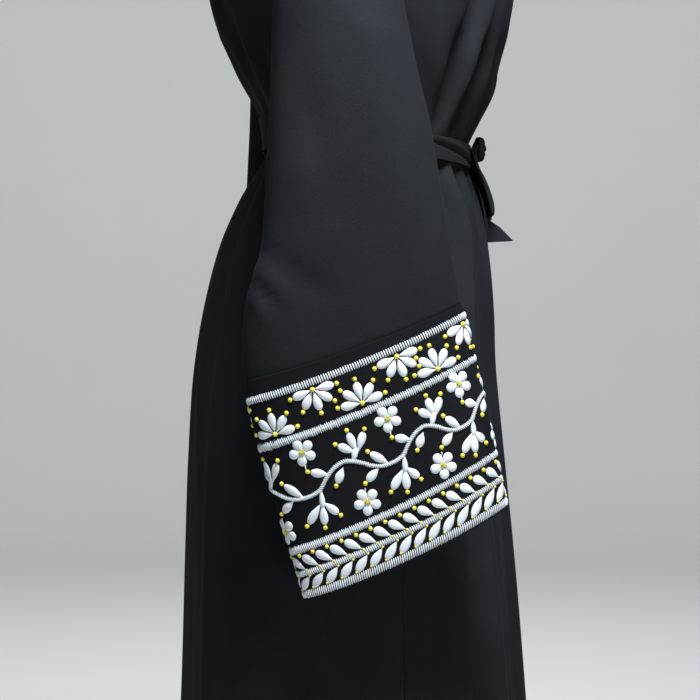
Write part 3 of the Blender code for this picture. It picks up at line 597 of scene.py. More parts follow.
def sleeve_form(places, turns):
    """Rings of the whole sleeve, cuff included. Places count stations, for each ring and turn."""
    stations = SLEEVE_STATIONS + CUFF_STATIONS
    rows = np.arange(len(stations))
    sizes = (curve_through(rows, column_of(stations, name), places) for name in Station._fields)
    return sleeve_ring(Station(*sizes), turns)


def outward_of(rings):
    """Outward directions of a tube's rings."""
    along = np.gradient(rings, axis=0)
    around = np.roll(rings, -1, axis=1) - np.roll(rings, 1, axis=1)
    outward = np.cross(along, around)
    centre = rings.mean(axis=1, keepdims=True)
    facing = np.sign(((rings - centre) * outward).sum(axis=2, keepdims=True))
    return unit(outward * np.where(facing == 0, 1.0, facing))


def left_from_right(points, places):
    """The left sleeve: the right one across the middle, with the arm a little further back."""
    moved = points * np.array([-1.0, 1.0, 1.0])
    moved[..., 1] += LEFT_SLEEVE_BACK_SHIFT * smooth_step((places + 1) / LEFT_SLEEVE_SHIFT_STATIONS)
    return moved


def belt_line(turns, side, standoff):
    """A ring round the waist, a distance out from the robe's form. Side is -1 below to 1 above."""
    middle = (BELT_TOP_Z + BELT_BOTTOM_Z) / 2 + side * (BELT_TOP_Z - BELT_BOTTOM_Z) / 2
    z = middle + BELT_SLOPE * round_form(turns, middle)[:, 1]
    pulled = smooth_step((np.sin(turns) - BELT_PULL_START) / BELT_PULL_SPAN)
    z = z - pulled * (BELT_PULL_LOW + (BELT_PULL_TOP - BELT_PULL_LOW) * (side + 1) / 2)
    here = round_form(turns, z)
    along = np.roll(here, -1, axis=0) - np.roll(here, 1, axis=0)
    outward = np.stack([along[:, 1], -along[:, 0], 0 * along[:, 0]], axis=-1)
    outward *= np.sign((outward * here).sum(axis=1, keepdims=True))
    return here + unit(outward) * np.asarray(standoff).reshape(-1, 1)


def skirt_front(x, z, clear):
    """A point in front of the robe's folds, by the clearance asked for."""
    width = section_size("half_width", z)
    depth = section_size("front", z) * (1 - (abs(x) / width) ** SECTION_POWER) ** (1 / SECTION_POWER)
    both = GATHERS["front_right"] + GATHERS["front_left"]
    tallest = max(float(gather_swell(gather, np.array(z))) for gather in both)
    return np.array([x, -(float(depth) + tallest + clear), z])


# Materials


def linear(colour):
    """A colour as seen on a screen, in hex, as the linear values the renderer needs."""
    seen = [int(colour[place : place + 2], 16) / 255 for place in (1, 3, 5)]
    return (*[c / 12.92 if c <= 0.04045 else ((c + 0.055) / 1.055) ** 2.4 for c in seen], 1.0)


def add_node(tree, kind, settings=None, links=None):
    """A node with its settings and, by input name, the outputs that feed it."""
    node = tree.nodes.new(kind)
    for name, value in (settings or {}).items():
        if isinstance(name, int) or name in node.inputs:
            node.inputs[name].default_value = value
        else:
            setattr(node, name, value)
    for name, output in (links or {}).items():
        tree.links.new(output, node.inputs[name])
    return node


def new_material(name):
    """(material, its node tree) with only an output node."""
    material = bpy.data.materials.new(name)
    material.use_nodes = True
    tree = material.node_tree
    tree.nodes.clear()
    return material, tree


def blend_colours(tree, share, low, high):
    """A colour between two hex ones, by the share."""
    return add_node(
        tree, "ShaderNodeMix",
        {"data_type": "RGBA", 6: linear(low), 7: linear(high)}, {0: share},
    ).outputs[2]


def finish_shader(tree, settings, colour, normal):
    links = {"Base Color": colour}
    if normal is not None:
        links["Normal"] = normal
    shader = add_node(tree, "ShaderNodeBsdfPrincipled", settings, links)
    add_node(tree, "ShaderNodeOutputMaterial", links={"Surface": shader.outputs[0]})


# The crepe's grain is about 0.4 mm, too fine for a picture of this size, so it is drawn coarser
CREPE_GRAIN = 1.6 * MM
CREPE_CLOUD = 60 * MM
CREPE_SHEEN = 0.01


def crepe_material(name, deep, pale, sheen_tint):
    """Polyester crepe, woven from hard-twisted yarn and piece-dyed black: the pebbled grain
    scatters the light, so that it looks dry and soft with a faint cool bloom at grazing angles."""
    material, tree = new_material(name)
    place = add_node(tree, "ShaderNodeTexCoord").outputs["Object"]
    cloud = add_node(
        tree, "ShaderNodeTexNoise", {"Scale": 1 / CREPE_CLOUD, "Detail": 2.0}, {"Vector": place})
    grain = add_node(
        tree, "ShaderNodeTexNoise",
        {"Scale": 1 / CREPE_GRAIN, "Detail": 3.0, "Roughness": 0.7}, {"Vector": place})
    half_cloud = add_node(
        tree, "ShaderNodeMath", {"operation": "MULTIPLY", 1: 0.5}, {0: cloud.outputs["Fac"]})
    mixed = add_node(
        tree, "ShaderNodeMath", {"operation": "MULTIPLY_ADD", 1: 0.5},
        {0: grain.outputs["Fac"], 2: half_cloud.outputs[0]})
    colour = blend_colours(tree, mixed.outputs[0], deep, pale)
    bump = add_node(
        tree, "ShaderNodeBump", {"Strength": 0.8, "Distance": 0.3 * MM}, {"Height": grain.outputs["Fac"]})
    settings = {
        "Roughness": 0.80,
        "Specular IOR Level": 0.02,
        "Sheen Weight": CREPE_SHEEN,
        "Sheen Roughness": 0.45,
        "Sheen Tint": linear(sheen_tint),
    }
    finish_shader(tree, settings, colour, bump.outputs[0])
    return material


THREAD_PITCH = 0.9 * MM
THREAD_CLOUD = 9 * MM


def thread_material(name, shade, lit, sheen):
    """Embroidery thread of shiny rayon, machine-sewn in close satin stitches: the laid threads
    give soft silky lights, with faint lines between them and a slightly cool white."""
    material, tree = new_material(name)
    thread = add_node(tree, "ShaderNodeTexCoord").outputs
    cloud = add_node(
        tree, "ShaderNodeTexNoise", {"Scale": 1 / THREAD_CLOUD, "Detail": 2.0},
        {"Vector": thread["Object"]})
    lines = add_node(
        tree, "ShaderNodeTexWave",
        {"wave_type": "BANDS", "bands_direction": "DIAGONAL", "Scale": 0.3 / THREAD_PITCH,
         "Distortion": 1.5, "Detail": 1.0, "Detail Scale": 1.0},
        {"Vector": thread["UV"]},
    )
    colour = blend_colours(tree, cloud.outputs["Fac"], shade, lit)
    bump = add_node(
        tree, "ShaderNodeBump", {"Strength": 0.35, "Distance": 0.15 * MM}, {"Height": lines.outputs["Fac"]})
    settings = {
        "Roughness": 0.48,
        "Specular IOR Level": 0.4,
        "Sheen Weight": sheen,
        "Sheen Roughness": 0.4,
    }
    finish_shader(tree, settings, colour, bump.outputs[0])
    return material


def paper_material():
    """A matte seamless paper sheet, rolled smooth: an even pale ground with no shine."""
    material, tree = new_material("matte seamless paper")
    place = add_node(tree, "ShaderNodeTexCoord").outputs["Object"]
    cloud = add_node(tree, "ShaderNodeTexNoise", {"Scale": 2.0, "Detail": 2.0}, {"Vector": place})
    colour = blend_colours(tree, cloud.outputs["Fac"], "#e4e6e4", "#e8eae8")
    finish_shader(tree, {"Roughness": 0.95, "Specular IOR Level": 0.1}, colour, None)
    return material


CREPE = crepe_material(
    "black polyester crepe, woven and piece-dyed", "#0f1214", "#26292c", "#c4d2e0")
# The cuffs' crepe is the sleeves' crepe made darker: painted shade for the dimmer light that falls on the
# cuffs
CUFF_CREPE_PAINTED_SHADE = crepe_material(
    "black crepe of the cuffs, darkened for painted shade", "#0e0f11", "#1b1d20", "#c4d2e0")
BELT_CREPE = crepe_material(
    "black crepe of the tie belt, folded and pressed", "#0f1012", "#202225", "#c8d0e0")
WHITE_THREAD = thread_material("white rayon thread, sewn in bars", "#c3cacd", "#dadee1", 0.1)
SATIN_THREAD = thread_material("white rayon thread, padded satin stitch", "#c3cacd", "#dadee2", 0.1)
YELLOW_THREAD = thread_material("yellow rayon thread, sewn in round knots", "#bdb42a", "#dfd752", 0.05)


# Meshes


def add_piece(name, points, faces, material, uv=None, sharp_degrees=50):
    """A piece of the robe, riding on its body, with smooth shading."""
    mesh = bpy.data.meshes.new(name)
    mesh.from_pydata(np.asarray(points).tolist(), [], faces)
    mesh.validate()
    mesh.shade_smooth()
    mesh.set_sharp_from_angle(angle=math.radians(sharp_degrees))
    mesh.materials.append(material)
    if uv is not None:
        layer = mesh.uv_layers.new(name="thread")
        corners = np.zeros(len(mesh.loops), int)
        mesh.loops.foreach_get("vertex_index", corners)
        layer.data.foreach_set("uv", np.asarray(uv)[corners].ravel())
    piece = bpy.data.objects.new(name, mesh)
    bpy.context.scene.collection.objects.link(piece)
    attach(piece, "root")
    return piece


def signed_volume(points, faces):
    total = 0.0
    for face in faces:
        for i in range(1, len(face) - 1):
            total += points[face[0]] @ np.cross(points[face[i]], points[face[i + 1]])
    return total / 6


def grid_faces(rows, columns, closed=False, offset=0):
    """Quads over a grid of points, row by row. A closed grid joins its last column to its first."""
    spans = columns if closed else columns - 1
    row, column = np.meshgrid(np.arange(rows - 1), np.arange(spans), indexing="ij")
    a = row * columns + column
    b = row * columns + (column + 1) % columns
    return (offset + np.stack([a, b, b + columns, a + columns], axis=-1)).reshape(-1, 4).tolist()


def add_wall(name, outer, inner, material, slot, closed=False):
    """A wall of cloth between two grids of points. A closed one is a tube, open at both ends."""
    rows, columns = outer.shape[:2]
    points = np.concatenate([outer.reshape(-1, 3), inner.reshape(-1, 3)])
    offset = rows * columns
    faces = grid_faces(rows, columns, closed)
    faces += [face[::-1] for face in grid_faces(rows, columns, closed, offset)]
    for column in range(columns if closed else columns - 1):
        a, b = column, (column + 1) % columns
        faces.append((b, a, offset + a, offset + b))
        a, b = a + (rows - 1) * columns, b + (rows - 1) * columns
        faces.append((a, b, offset + b, offset + a))
    if not closed:
        for row in range(rows - 1):
            a, d = row * columns, (row + 1) * columns
            faces.append((a, d, offset + d, offset + a))
            b, c = a + columns - 1, d + columns - 1
            faces.append((c, b, offset + b, offset + c))
    if signed_volume(points, faces) < 0:
        faces = [tuple(face[::-1]) for face in faces]
    piece = add_piece(f"{name}_cloth", points, faces, material)
    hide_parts(name)


def into_seams(points, outward):
    """Cloth that dips into the seams at both sides of a panel, within a short reach."""
    near_first = points[:, :1] + (points[:, 1:2] - points[:, :1]) * SEAM_REACH
    near_last = points[:, -1:] + (points[:, -2:-1] - points[:, -1:]) * SEAM_REACH
    first = points[:, :1] - outward[:, :1] * SEAM_DIP
    last = points[:, -1:] - outward[:, -1:] * SEAM_DIP
    return np.concatenate([first, near_first, points[:, 1:-1], near_last, last], axis=1)


def add_panel(panel, pieces):
    """A panel's wall, cut into pieces that share its columns."""
    grid, outward, swell = panel_form(panel)
    outer = grid + outward * swell[:, :, None]
    inner = outer - outward * CLOTH
    last = grid.shape[1] - 1
    for place, name in enumerate(pieces):
        columns = slice(last * place // len(pieces), last * (place + 1) // len(pieces) + 1)
        cut = (part_edges(points[:, columns], SEAM_GAP) for points in (outer, inner))
        sewn = (into_seams(points, outward[:, columns]) for points in cut)
        held = (hold_side(points, panel) for points in sewn)
        add_wall(name, *held, CREPE, "robe_crepe")


def arm_creases(points, turns):
    """All the listed creases of the right sleeve and cuff at these points."""
    total = np.zeros(points.shape[:-1])
    outside = smooth_step(np.sin(turns) / SLEEVE_SIDE_BLEND + 0.5)
    for crease in ARM_CREASES:
        route = np.stack([crease.along, crease.heights], axis=-1)
        lift = crease_lift(points[..., 1:], route, crease.lift, crease.reach)
        total += lift * (outside if crease.outer else 1.0 - outside)
    return total


def cuff_rows():
    """Places of the cuff's fine rows, with one more close to its seam and one to its hem."""
    last = len(CUFF_STATIONS) - 1
    rows = np.linspace(0, last, CUFF_FINE_ROWS * last + 1)
    close = [CUFF_SEAM_STEP, last - CUFF_HEM_STEP]
    return len(SLEEVE_STATIONS) + np.sort(np.concatenate([rows, close]))


def sleeve_grids():
    """(sleeve, cuff) of the right arm, each as its outside, its inside and their places."""
    turns = 2 * math.pi * np.arange(SLEEVE_COLUMNS) / SLEEVE_COLUMNS
    armhole = armhole_loop(turns)
    armhole[:, 0] -= ARMHOLE_STEP
    seam = len(SLEEVE_STATIONS)
    rows = between_rows(np.arange(0.0, seam + 1), SLEEVE_FINE_ROWS)
    cap_rows = between_rows(np.arange(-1.0, 1.0), SLEEVE_FINE_ROWS)[:-1]
    first = sleeve_form(np.zeros((1, len(turns))), turns)[0]
    cap_share = (cap_rows + 1)[:, None, None]
    cap = armhole[None] * (1 - cap_share) + first[None] * cap_share
    places = np.concatenate([cap_rows, rows])[:, None] + 0 * turns
    sleeve = np.concatenate([cap, sleeve_form(rows[:, None] + 0 * turns, turns)])
    cuff_at = cuff_rows()[:, None] + 0 * turns
    cuff = sleeve_form(cuff_at, turns)
    near = sleeve_form(seam + np.array([-0.1, 0.0, 0.1])[:, None] + 0 * turns, turns)
    seam_run = unit(near[2] - near[0])
    sleeve_out, cuff_out = outward_of(sleeve), outward_of(cuff)
    sleeve_out[0, :, 0] = 0.0
    sleeve_out[0] = unit(sleeve_out[0])
    sleeve_out[-1] = cuff_out[0] = outward_of(near)[1]
    sleeve += sleeve_out * arm_creases(sleeve, turns)[..., None]
    cuff += cuff_out * arm_creases(cuff, turns)[..., None]
    sleeve[-1] -= sleeve_out[-1] * SEAM_DIP
    cuff[0] -= cuff_out[0] * SEAM_DIP
    sleeve_in = sleeve - sleeve_out * CLOTH
    cuff_in = cuff - cuff_out * CLOTH
    sleeve[-1] -= seam_run * SEAM_GAP
    sleeve_in[-1] -= seam_run * SEAM_GAP
    return (sleeve, sleeve_in, places), (cuff, cuff_in, cuff_at)


def add_sleeves():
    """Both sleeves and cuffs. The left ones are the right ones' mirror image."""
    sleeve, cuff = sleeve_grids()
    for side in ("right", "left"):
        for name, (outer, inner, places), material, slot in (
                ("sleeve", sleeve, CREPE, "robe_crepe"),
                ("cuff", cuff, CUFF_CREPE_PAINTED_SHADE, "cuff_crepe")):
            if side == "left":
                outer, inner = (left_from_right(grid, places) for grid in (outer, inner))
            add_wall(f"{name}_{side}", outer, inner, material, slot, closed=True)


# The tie belt. Its creases: degrees round, sides (-1 is the lower edge, 1 the upper one). The
# degrees run on from the break, at the left and behind, where no crease crosses
BELT_COLUMNS = 288
BELT_ROWS = 17
BELT_RADIUS = 0.115
BELT_BREAK_DEGREES = -135
BELT_EDGE_ROUNDING = 0.0007
BeltCrease = namedtuple("BeltCrease", "degrees sides lift reach")
BELT_CREASES = rows_of(
    BeltCrease,
    ((22, 40, 62, 86), (0.75, 0.30, -0.30, -0.90), -0.0022, 0.0018),
    ((28, 48, 70, 90), (1.05, 0.62, 0.05, -0.50), 0.0014, 0.0032),
    ((-30, -8, 14, 34), (-0.35, -0.20, -0.30, -0.45), -0.0009, 0.0022),
    ((-80, -60, -38, -16), (0.40, 0.20, 0.30, 0.50), -0.0010, 0.0024),
    ((-130, -112, -94), (-0.30, -0.10, -0.25), -0.0009, 0.0024),
    ((160, 136, 114, 94), (0.70, 0.25, -0.20, -0.60), -0.0011, 0.0022),
    ((176, 196, 220), (0.20, -0.20, -0.10), -0.0009, 0.0024),
)


def add_belt():
    """The belt's band: a closed ring on the robe's folds, with rounded edges and creases."""
    turns = 2 * math.pi * np.arange(BELT_COLUMNS) / BELT_COLUMNS
    sides = np.linspace(-1, 1, BELT_ROWS)
    half_height = (BELT_TOP_Z - BELT_BOTTOM_Z) / 2
    degrees = (np.degrees(turns) - BELT_BREAK_DEGREES) % 360 + BELT_BREAK_DEGREES
    flat = np.stack(np.broadcast_arrays(
        np.radians(degrees)[None] * BELT_RADIUS, sides[:, None] * half_height), axis=-1)
    lift = np.zeros(flat.shape[:2])
    for crease in BELT_CREASES:
        route = np.stack([np.radians(crease.degrees) * BELT_RADIUS,
                          np.array(crease.sides) * half_height], axis=-1)
        lift += crease_lift(flat, route, crease.lift, crease.reach)
    crown = BELT_EDGE_ROUNDING * (1 - np.abs(sides) ** 4)
    inner = np.stack([belt_line(turns, side, BELT_STANDOFF) for side in sides])
    face = BELT_STANDOFF + BELT_CLOTH + crown[:, None] + lift
    outer = np.stack([belt_line(turns, side, row) for side, row in zip(sides, face)])
    add_wall("belt_band", outer, inner, BELT_CREPE, "belt_crepe", closed=True)


# Ribbon routes of the bow, as in the CAD: sideways place, height, distance in front of the
# skirt's folds, ribbon width and twist about its own run
RibbonPoint = namedtuple("RibbonPoint", "x z clear width twist")
RIBBONS = {
    "belt_loop_right": rows_of(
        RibbonPoint,
        (-0.0090, -0.4050, 0.0084, 0.012, 0.0),
        (-0.0140, -0.4112, 0.0086, 0.015, 0.0),
        (-0.0195, -0.4228, 0.0106, 0.021, 0.0),
        (-0.0240, -0.4400, 0.0132, 0.027, 0.0),
        (-0.0275, -0.4590, 0.0132, 0.028, 0.0),
        (-0.0290, -0.4700, 0.0104, 0.028, 0.0),
        (-0.0270, -0.4590, 0.0076, 0.028, 0.0),
        (-0.0230, -0.4400, 0.0060, 0.026, 0.0),
        (-0.0190, -0.4230, 0.0056, 0.020, 0.0),
        (-0.0140, -0.4118, 0.0060, 0.014, 0.0),
        (-0.0100, -0.4065, 0.0056, 0.012, 0.0),
    ),
    "belt_loop_left": rows_of(
        RibbonPoint,
        (0.0110, -0.4045, 0.0084, 0.012, 0.0),
        (0.0165, -0.4105, 0.0086, 0.015, 0.0),
        (0.0225, -0.4210, 0.0104, 0.021, 0.0),
        (0.0275, -0.4390, 0.0126, 0.027, 0.0),
        (0.0315, -0.4600, 0.0124, 0.029, 0.0),
        (0.0330, -0.4730, 0.0098, 0.029, 0.0),
        (0.0310, -0.4610, 0.0070, 0.029, 0.0),
        (0.0265, -0.4400, 0.0058, 0.026, 0.0),
        (0.0215, -0.4220, 0.0056, 0.020, 0.0),
        (0.0160, -0.4110, 0.0060, 0.014, 0.0),
        (0.0120, -0.4060, 0.0056, 0.012, 0.0),
    ),
    "belt_tail_right": rows_of(
        RibbonPoint,
        (-0.0028, -0.4172, 0.0058, 0.0050, 0.0),
        (-0.0032, -0.4240, 0.0040, 0.0060, 0.0),
        (-0.0052, -0.4310, 0.0024, 0.0100, 0.0),
        (-0.0085, -0.4440, 0.0018, 0.0190, 2.0),
        (-0.0125, -0.4600, 0.0016, 0.0300, 3.0),
        (-0.0155, -0.4740, 0.0030, 0.0335, 7.0),
        (-0.0175, -0.4860, 0.0082, 0.0340, 28.0),
        (-0.0185, -0.4975, 0.0122, 0.0340, 50.0),
    ),
    "belt_tail_left": rows_of(
        RibbonPoint,
        (0.0036, -0.4172, 0.0058, 0.0055, 0.0),
        (0.0044, -0.4240, 0.0040, 0.0065, 0.0),
        (0.0066, -0.4310, 0.0024, 0.0100, 0.0),
        (0.0125, -0.4460, 0.0014, 0.0190, 0.0),
        (0.0190, -0.4700, 0.0014, 0.0280, 0.0),
        (0.0250, -0.4980, 0.0012, 0.0320, 2.0),
        (0.0290, -0.5240, 0.0012, 0.0330, 4.0),
        (0.0320, -0.5500, 0.0014, 0.0340, 6.0),
    ),
}

# The ribbons' grid, their pleats where they are narrow and their bend across. The loops' outer
# edges close on a line this clear of the skirt, and the tails' ends are cut on the slant
RIBBON_STEPS = 72
RIBBON_COLUMNS = 13
RIBBON_PLEATS = 2.0
RIBBON_PLEAT_DEPTH = 0.0011
RIBBON_FLAT_SHARE = 0.15
RIBBON_CUP = 0.0014
LOOP_MIDDLE_CLEAR = 0.0092
LOOP_TUCK = 0.92
TAIL_SLANT = 0.13


def add_ribbon(name):
    """A flat strip along its route in front of the skirt, pleated where it is narrow."""
    route = RIBBONS[name]
    places = np.linspace(0, len(route) - 1, RIBBON_STEPS)
    line = curve_points([skirt_front(p.x, p.z, p.clear) for p in route], places)
    widths, twists = curve_points([(p.width, p.twist) for p in route], places).T
    twists = np.radians(twists)
    widest = max(widths)
    run = unit(np.gradient(line, axis=0))
    across = unit(np.array([1.0, 0.0, 0.0]) - run * run[:, :1])
    face = np.cross(run, across)
    turned = across * np.cos(twists)[:, None] + face * np.sin(twists)[:, None]
    normal = np.cross(run, turned)
    shares = np.linspace(-0.5, 0.5, RIBBON_COLUMNS)
    middle = line[:, None] + turned[:, None] * (widths[:, None] * shares)[:, :, None]
    gathered = 1.0 - smooth_step(widths / widest * 1.15 - 0.15)
    folds = np.cos(2 * math.pi * RIBBON_PLEATS * shares) * RIBBON_PLEAT_DEPTH
    wave = folds * (RIBBON_FLAT_SHARE + gathered[:, None])
    bowed = RIBBON_CUP * (4 * shares**2) * np.sin(math.pi * places / places[-1])[:, None]
    middle = middle + normal[:, None] * (wave + bowed)[:, :, None]
    outer_side = shares * math.copysign(2.0, route[-1].x)
    if "loop" in name:
        heart = np.array([skirt_front(x, z, LOOP_MIDDLE_CLEAR)[1] for x, _, z in line])
        open_share = smooth_step(widths / widest * 2.4 - 0.8)
        tuck = LOOP_TUCK * smooth_step(outer_side) * open_share[:, None]
        middle[:, :, 1] += (heart[:, None] - middle[:, :, 1]) * tuck
    else:
        late = smooth_step(places / places[-1] * 3 - 2)[:, None]
        middle += run[:, None] * (widths[:, None] * TAIL_SLANT * late * -outer_side)[:, :, None]
    half = normal[:, None] * CLOTH / 2
    add_wall(name, middle + half, middle - half, BELT_CREPE, "belt_crepe")


# The bow's knot, a pinched wrap with folds that run into it from both sides
KNOT_HALF_WIDTH = 0.0130
KNOT_HALF_HEIGHT = 0.0120
KNOT_DEPTH = 0.0068
KNOT_STANDOFF = 0.0080
KNOT_COLUMNS = 48
KNOT_ROWS = 40
KNOT_CORE_X = (-0.0036, 0.0058)
KNOT_LIFT = 0.0100
KNOT_END_POWER = 3.2
KNOT_END_DEPTH = 0.25
KNOT_END_WIDTH = 0.55
KNOT_FACE_POWER = 0.7
KnotFold = namedtuple("KnotFold", "start end lift reach")
KNOT_FOLDS = rows_of(
    KnotFold,
    ((-0.9, 0.55), (0.8, 0.15), -0.0014, 0.12),
    ((-0.8, -0.10), (0.9, -0.45), -0.0012, 0.13),
    ((-0.7, 0.25), (0.7, -0.15), 0.0009, 0.14),
    ((-0.5, -0.60), (0.6, -0.75), -0.0009, 0.10),
)


def add_knot():
    """The bow's knot: a rounded wrap over the ribbons, with a core between them on the belt."""
    belt_z = (BELT_TOP_Z + BELT_BOTTOM_Z) / 2
    middle_z = belt_z - BELT_SLOPE * float(section_size("front", belt_z))
    face = BELT_STANDOFF + BELT_CLOTH
    back_y = -float(section_size("front", BELT_BOTTOM_Z + KNOT_LIFT)) - face - KNOT_STANDOFF
    core_left, core_right = KNOT_CORE_X
    points = []
    for climb in np.linspace(-1, 1, KNOT_ROWS + 1):
        round_off = KNOT_END_DEPTH + (1 - KNOT_END_DEPTH) * (1 - abs(climb) ** KNOT_END_POWER) ** 0.5
        z = middle_z + KNOT_HALF_HEIGHT * climb
        core_y = -float(section_size("front", z)) - face - 2 * SEAM_GAP
        for turn in np.linspace(0, math.pi, KNOT_COLUMNS + 1):
            across = -math.cos(turn)
            here = np.array([[across, climb]])
            fold = sum(
                crease_lift(here, np.array([f.start, f.end]), f.lift, f.reach)[0] for f in KNOT_FOLDS)
            x = KNOT_HALF_WIDTH * across * max(round_off, KNOT_END_WIDTH)
            bulge = max(math.sin(turn), 0.0) ** KNOT_FACE_POWER
            points.append((x, back_y - (KNOT_DEPTH * round_off + fold) * bulge, z))
        for x, y in ((core_right, back_y), (core_right, core_y), (core_left, core_y), (core_left, back_y)):
            points.append((x, y, z))
    points = np.array(points)
    stride = KNOT_COLUMNS + 5
    faces = grid_faces(KNOT_ROWS + 1, stride, closed=True)
    faces.append(tuple(range(stride - 1, -1, -1)))
    faces.append(tuple(range(KNOT_ROWS * stride, (KNOT_ROWS + 1) * stride)))
    if signed_volume(points, faces) < 0:
        faces = [tuple(reversed(face)) for face in faces]
    knot = add_piece("belt_knot_cloth", points, faces, BELT_CREPE)
    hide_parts("belt_knot")


# The cuff's surface for the sewing. A place is a share of the way round from the back fold, by
# the outside to the front fold at a half and back on the side facing the body. A height is a
# share of the way from the cuff's seam, 0, to its hem, 1

SURFACE_COLUMNS = 720
SURFACE_ROWS = 101
SURFACE_TURNS = 1440


def read_line(wanted, places, values):
    """Each component of the values, read between the places at the wanted ones."""
    return np.stack([np.interp(wanted, places, column) for column in values.T], axis=-1)


class CuffSurface:
    """The right cuff's outside, read by place round it and height down it."""

    def __init__(self):
        turns = math.pi - 2 * math.pi * np.arange(SURFACE_TURNS) / SURFACE_TURNS
        even_rows = np.linspace(0, 1, SURFACE_ROWS)
        rows = len(SLEEVE_STATIONS) + np.linspace(0, len(CUFF_STATIONS) - 1, SURFACE_ROWS)
        rings = sleeve_form(rows[:, None] + 0 * turns, turns)
        rings = rings + outward_of(rings) * arm_creases(rings, turns + 0 * rows[:, None])[..., None]
        for column in range(SURFACE_TURNS):
            line = rings[:, column]
            passed = passed_along(np.diff(line, axis=0))
            rings[:, column] = read_line(even_rows, passed / passed[-1], line)
        even = np.arange(SURFACE_COLUMNS) / SURFACE_COLUMNS
        self.points = np.zeros((SURFACE_ROWS, SURFACE_COLUMNS, 3))
        for row, ring in enumerate(rings):
            closed = np.concatenate([ring, ring[:1]])
            passed = passed_along(np.diff(closed, axis=0))
            self.points[row] = read_line(even, passed / passed[-1], closed)
        self.out = outward_of(self.points)
        ahead, behind = np.roll(self.points, -1, axis=1), np.roll(self.points, 1, axis=1)
        self.around = (ahead - behind) * SURFACE_COLUMNS / 2
        self.down = np.gradient(self.points, axis=0) * (SURFACE_ROWS - 1)
        self.length_round = np.linalg.norm(self.around, axis=2).mean()

    def read(self, table, spots):
        """The table between its rows and columns, at spots of (place, height)."""
        column = (spots[..., 0] % 1.0) * SURFACE_COLUMNS
        row = np.clip(spots[..., 1], 0.0, 1.0) * (SURFACE_ROWS - 1)
        left = np.floor(column).astype(int)
        top = np.minimum(np.floor(row).astype(int), SURFACE_ROWS - 2)
        s, t = (column - left)[..., None], (row - top)[..., None]
        left, right = left % SURFACE_COLUMNS, (left + 1) % SURFACE_COLUMNS
        upper = table[top, left] * (1 - s) + table[top, right] * s
        lower = table[top + 1, left] * (1 - s) + table[top + 1, right] * s
        return upper * (1 - t) + lower * t

    def outward(self, spots):
        return unit(self.read(self.out, spots))

    def lay(self, spots, lifts):
        """Points on the cloth at the spots, raised by the lifts."""
        return self.read(self.points, spots) + self.outward(spots) * lifts[..., None]

    def axes(self, spots):
        """(along the band towards the front, down across it) at each spot, at right angles."""
        along = unit(self.read(self.around, spots))
        across = np.cross(self.outward(spots), along)
        facing = np.sign((across * self.read(self.down, spots)).sum(axis=-1, keepdims=True))
        return along, across * facing

    def flat_step(self, spots, steps):
        """Steps of (place, height) as metres (along the band, down across it)."""
        around, down = self.read(self.around, spots), self.read(self.down, spots)
        moved = around * steps[..., :1] + down * steps[..., 1:]
        along, across = self.axes(spots)
        return np.stack([(moved * along).sum(axis=-1), (moved * across).sum(axis=-1)], axis=-1)

    def spot_steps(self, spots, metres):
        """Metres (along the band, down across it) as steps of (place, height)."""
        unit_place = self.flat_step(spots, np.broadcast_to([1.0, 0.0], spots.shape))
        unit_height = self.flat_step(spots, np.broadcast_to([0.0, 1.0], spots.shape))
        table = np.stack([unit_place, unit_height], axis=-1)
        return np.linalg.solve(table, metres[..., None])[..., 0]


# The sewing's lines round the cuff: heights at the back fold and at the front fold
CuffLine = namedtuple("CuffLine", "back front")
FIRST_BAR = (CuffLine(0.0769, 0.0387), CuffLine(0.1111, 0.0716))
SECOND_BAR = (CuffLine(0.2858, 0.2502), CuffLine(0.3257, 0.2853))
THIRD_BAR = (CuffLine(0.7598, 0.7150), CuffLine(0.7984, 0.7500))
GARLAND_STEM = (CuffLine(0.8697, 0.8400), CuffLine(0.9000, 0.8700))
HEM_BAR = (CuffLine(0.9570, 0.9480), CuffLine(0.9950, 0.9880))


def towards_front(places):
    """0 at the back fold, 1 at the front one."""
    return 1.0 - np.abs(1.0 - 2.0 * (np.asarray(places, float) % 1.0))


def line_height(line, places):
    """A line's height at the places. It runs evenly from the back fold to the front one."""
    return line.back + (line.front - line.back) * towards_front(places)


def on_line(line, places):
    return np.stack([np.asarray(places, float), line_height(line, places)], axis=-1)


# One thread of a stitch: rings along it, each a flattened loop. Its ends sink in the cloth
STITCH_RINGS = 5
STITCH_SIDES = 6
STITCH_SINK = -0.0003


def stitch_mesh(surface, starts, ends, width, rise, taper):
    """(points, faces) of raised threads, each from its start spot to its end spot."""
    along = np.linspace(0, 1, STITCH_RINGS)
    spots = starts[:, None] + (ends - starts)[:, None] * along[:, None]
    arch = np.sin(math.pi * along) ** 0.5
    widths = np.broadcast_to(width, len(starts))[:, None] / 2 * (taper + (1 - taper) * arch)
    heights = np.broadcast_to(rise, len(starts))[:, None] / 2 * (0.4 + 0.6 * arch)
    middle = surface.lay(spots, STITCH_SINK + (heights - STITCH_SINK) * arch)
    out = surface.outward(spots)
    run = unit(np.gradient(middle, axis=1))
    side = unit(np.cross(run, out))
    out = np.cross(side, run)
    turns = 2 * math.pi * np.arange(STITCH_SIDES) / STITCH_SIDES
    points = (
        middle[:, :, None]
        + side[:, :, None] * (widths[..., None] * np.cos(turns))[..., None]
        + out[:, :, None] * (heights[..., None] * np.sin(turns))[..., None]
    )
    size = STITCH_RINGS * STITCH_SIDES
    one = grid_faces(STITCH_RINGS, STITCH_SIDES, closed=True)
    one.append(list(range(STITCH_SIDES))[::-1])
    one.append(list(range(size - STITCH_SIDES, size)))
    return points.reshape(-1, 3), repeat_faces(one, len(starts), size)


def repeat_faces(faces, count, size):
    """The same faces for each of a row of like meshes with that many points each."""
    return [tuple(corner + size * at for corner in face) for at in range(count) for face in faces]


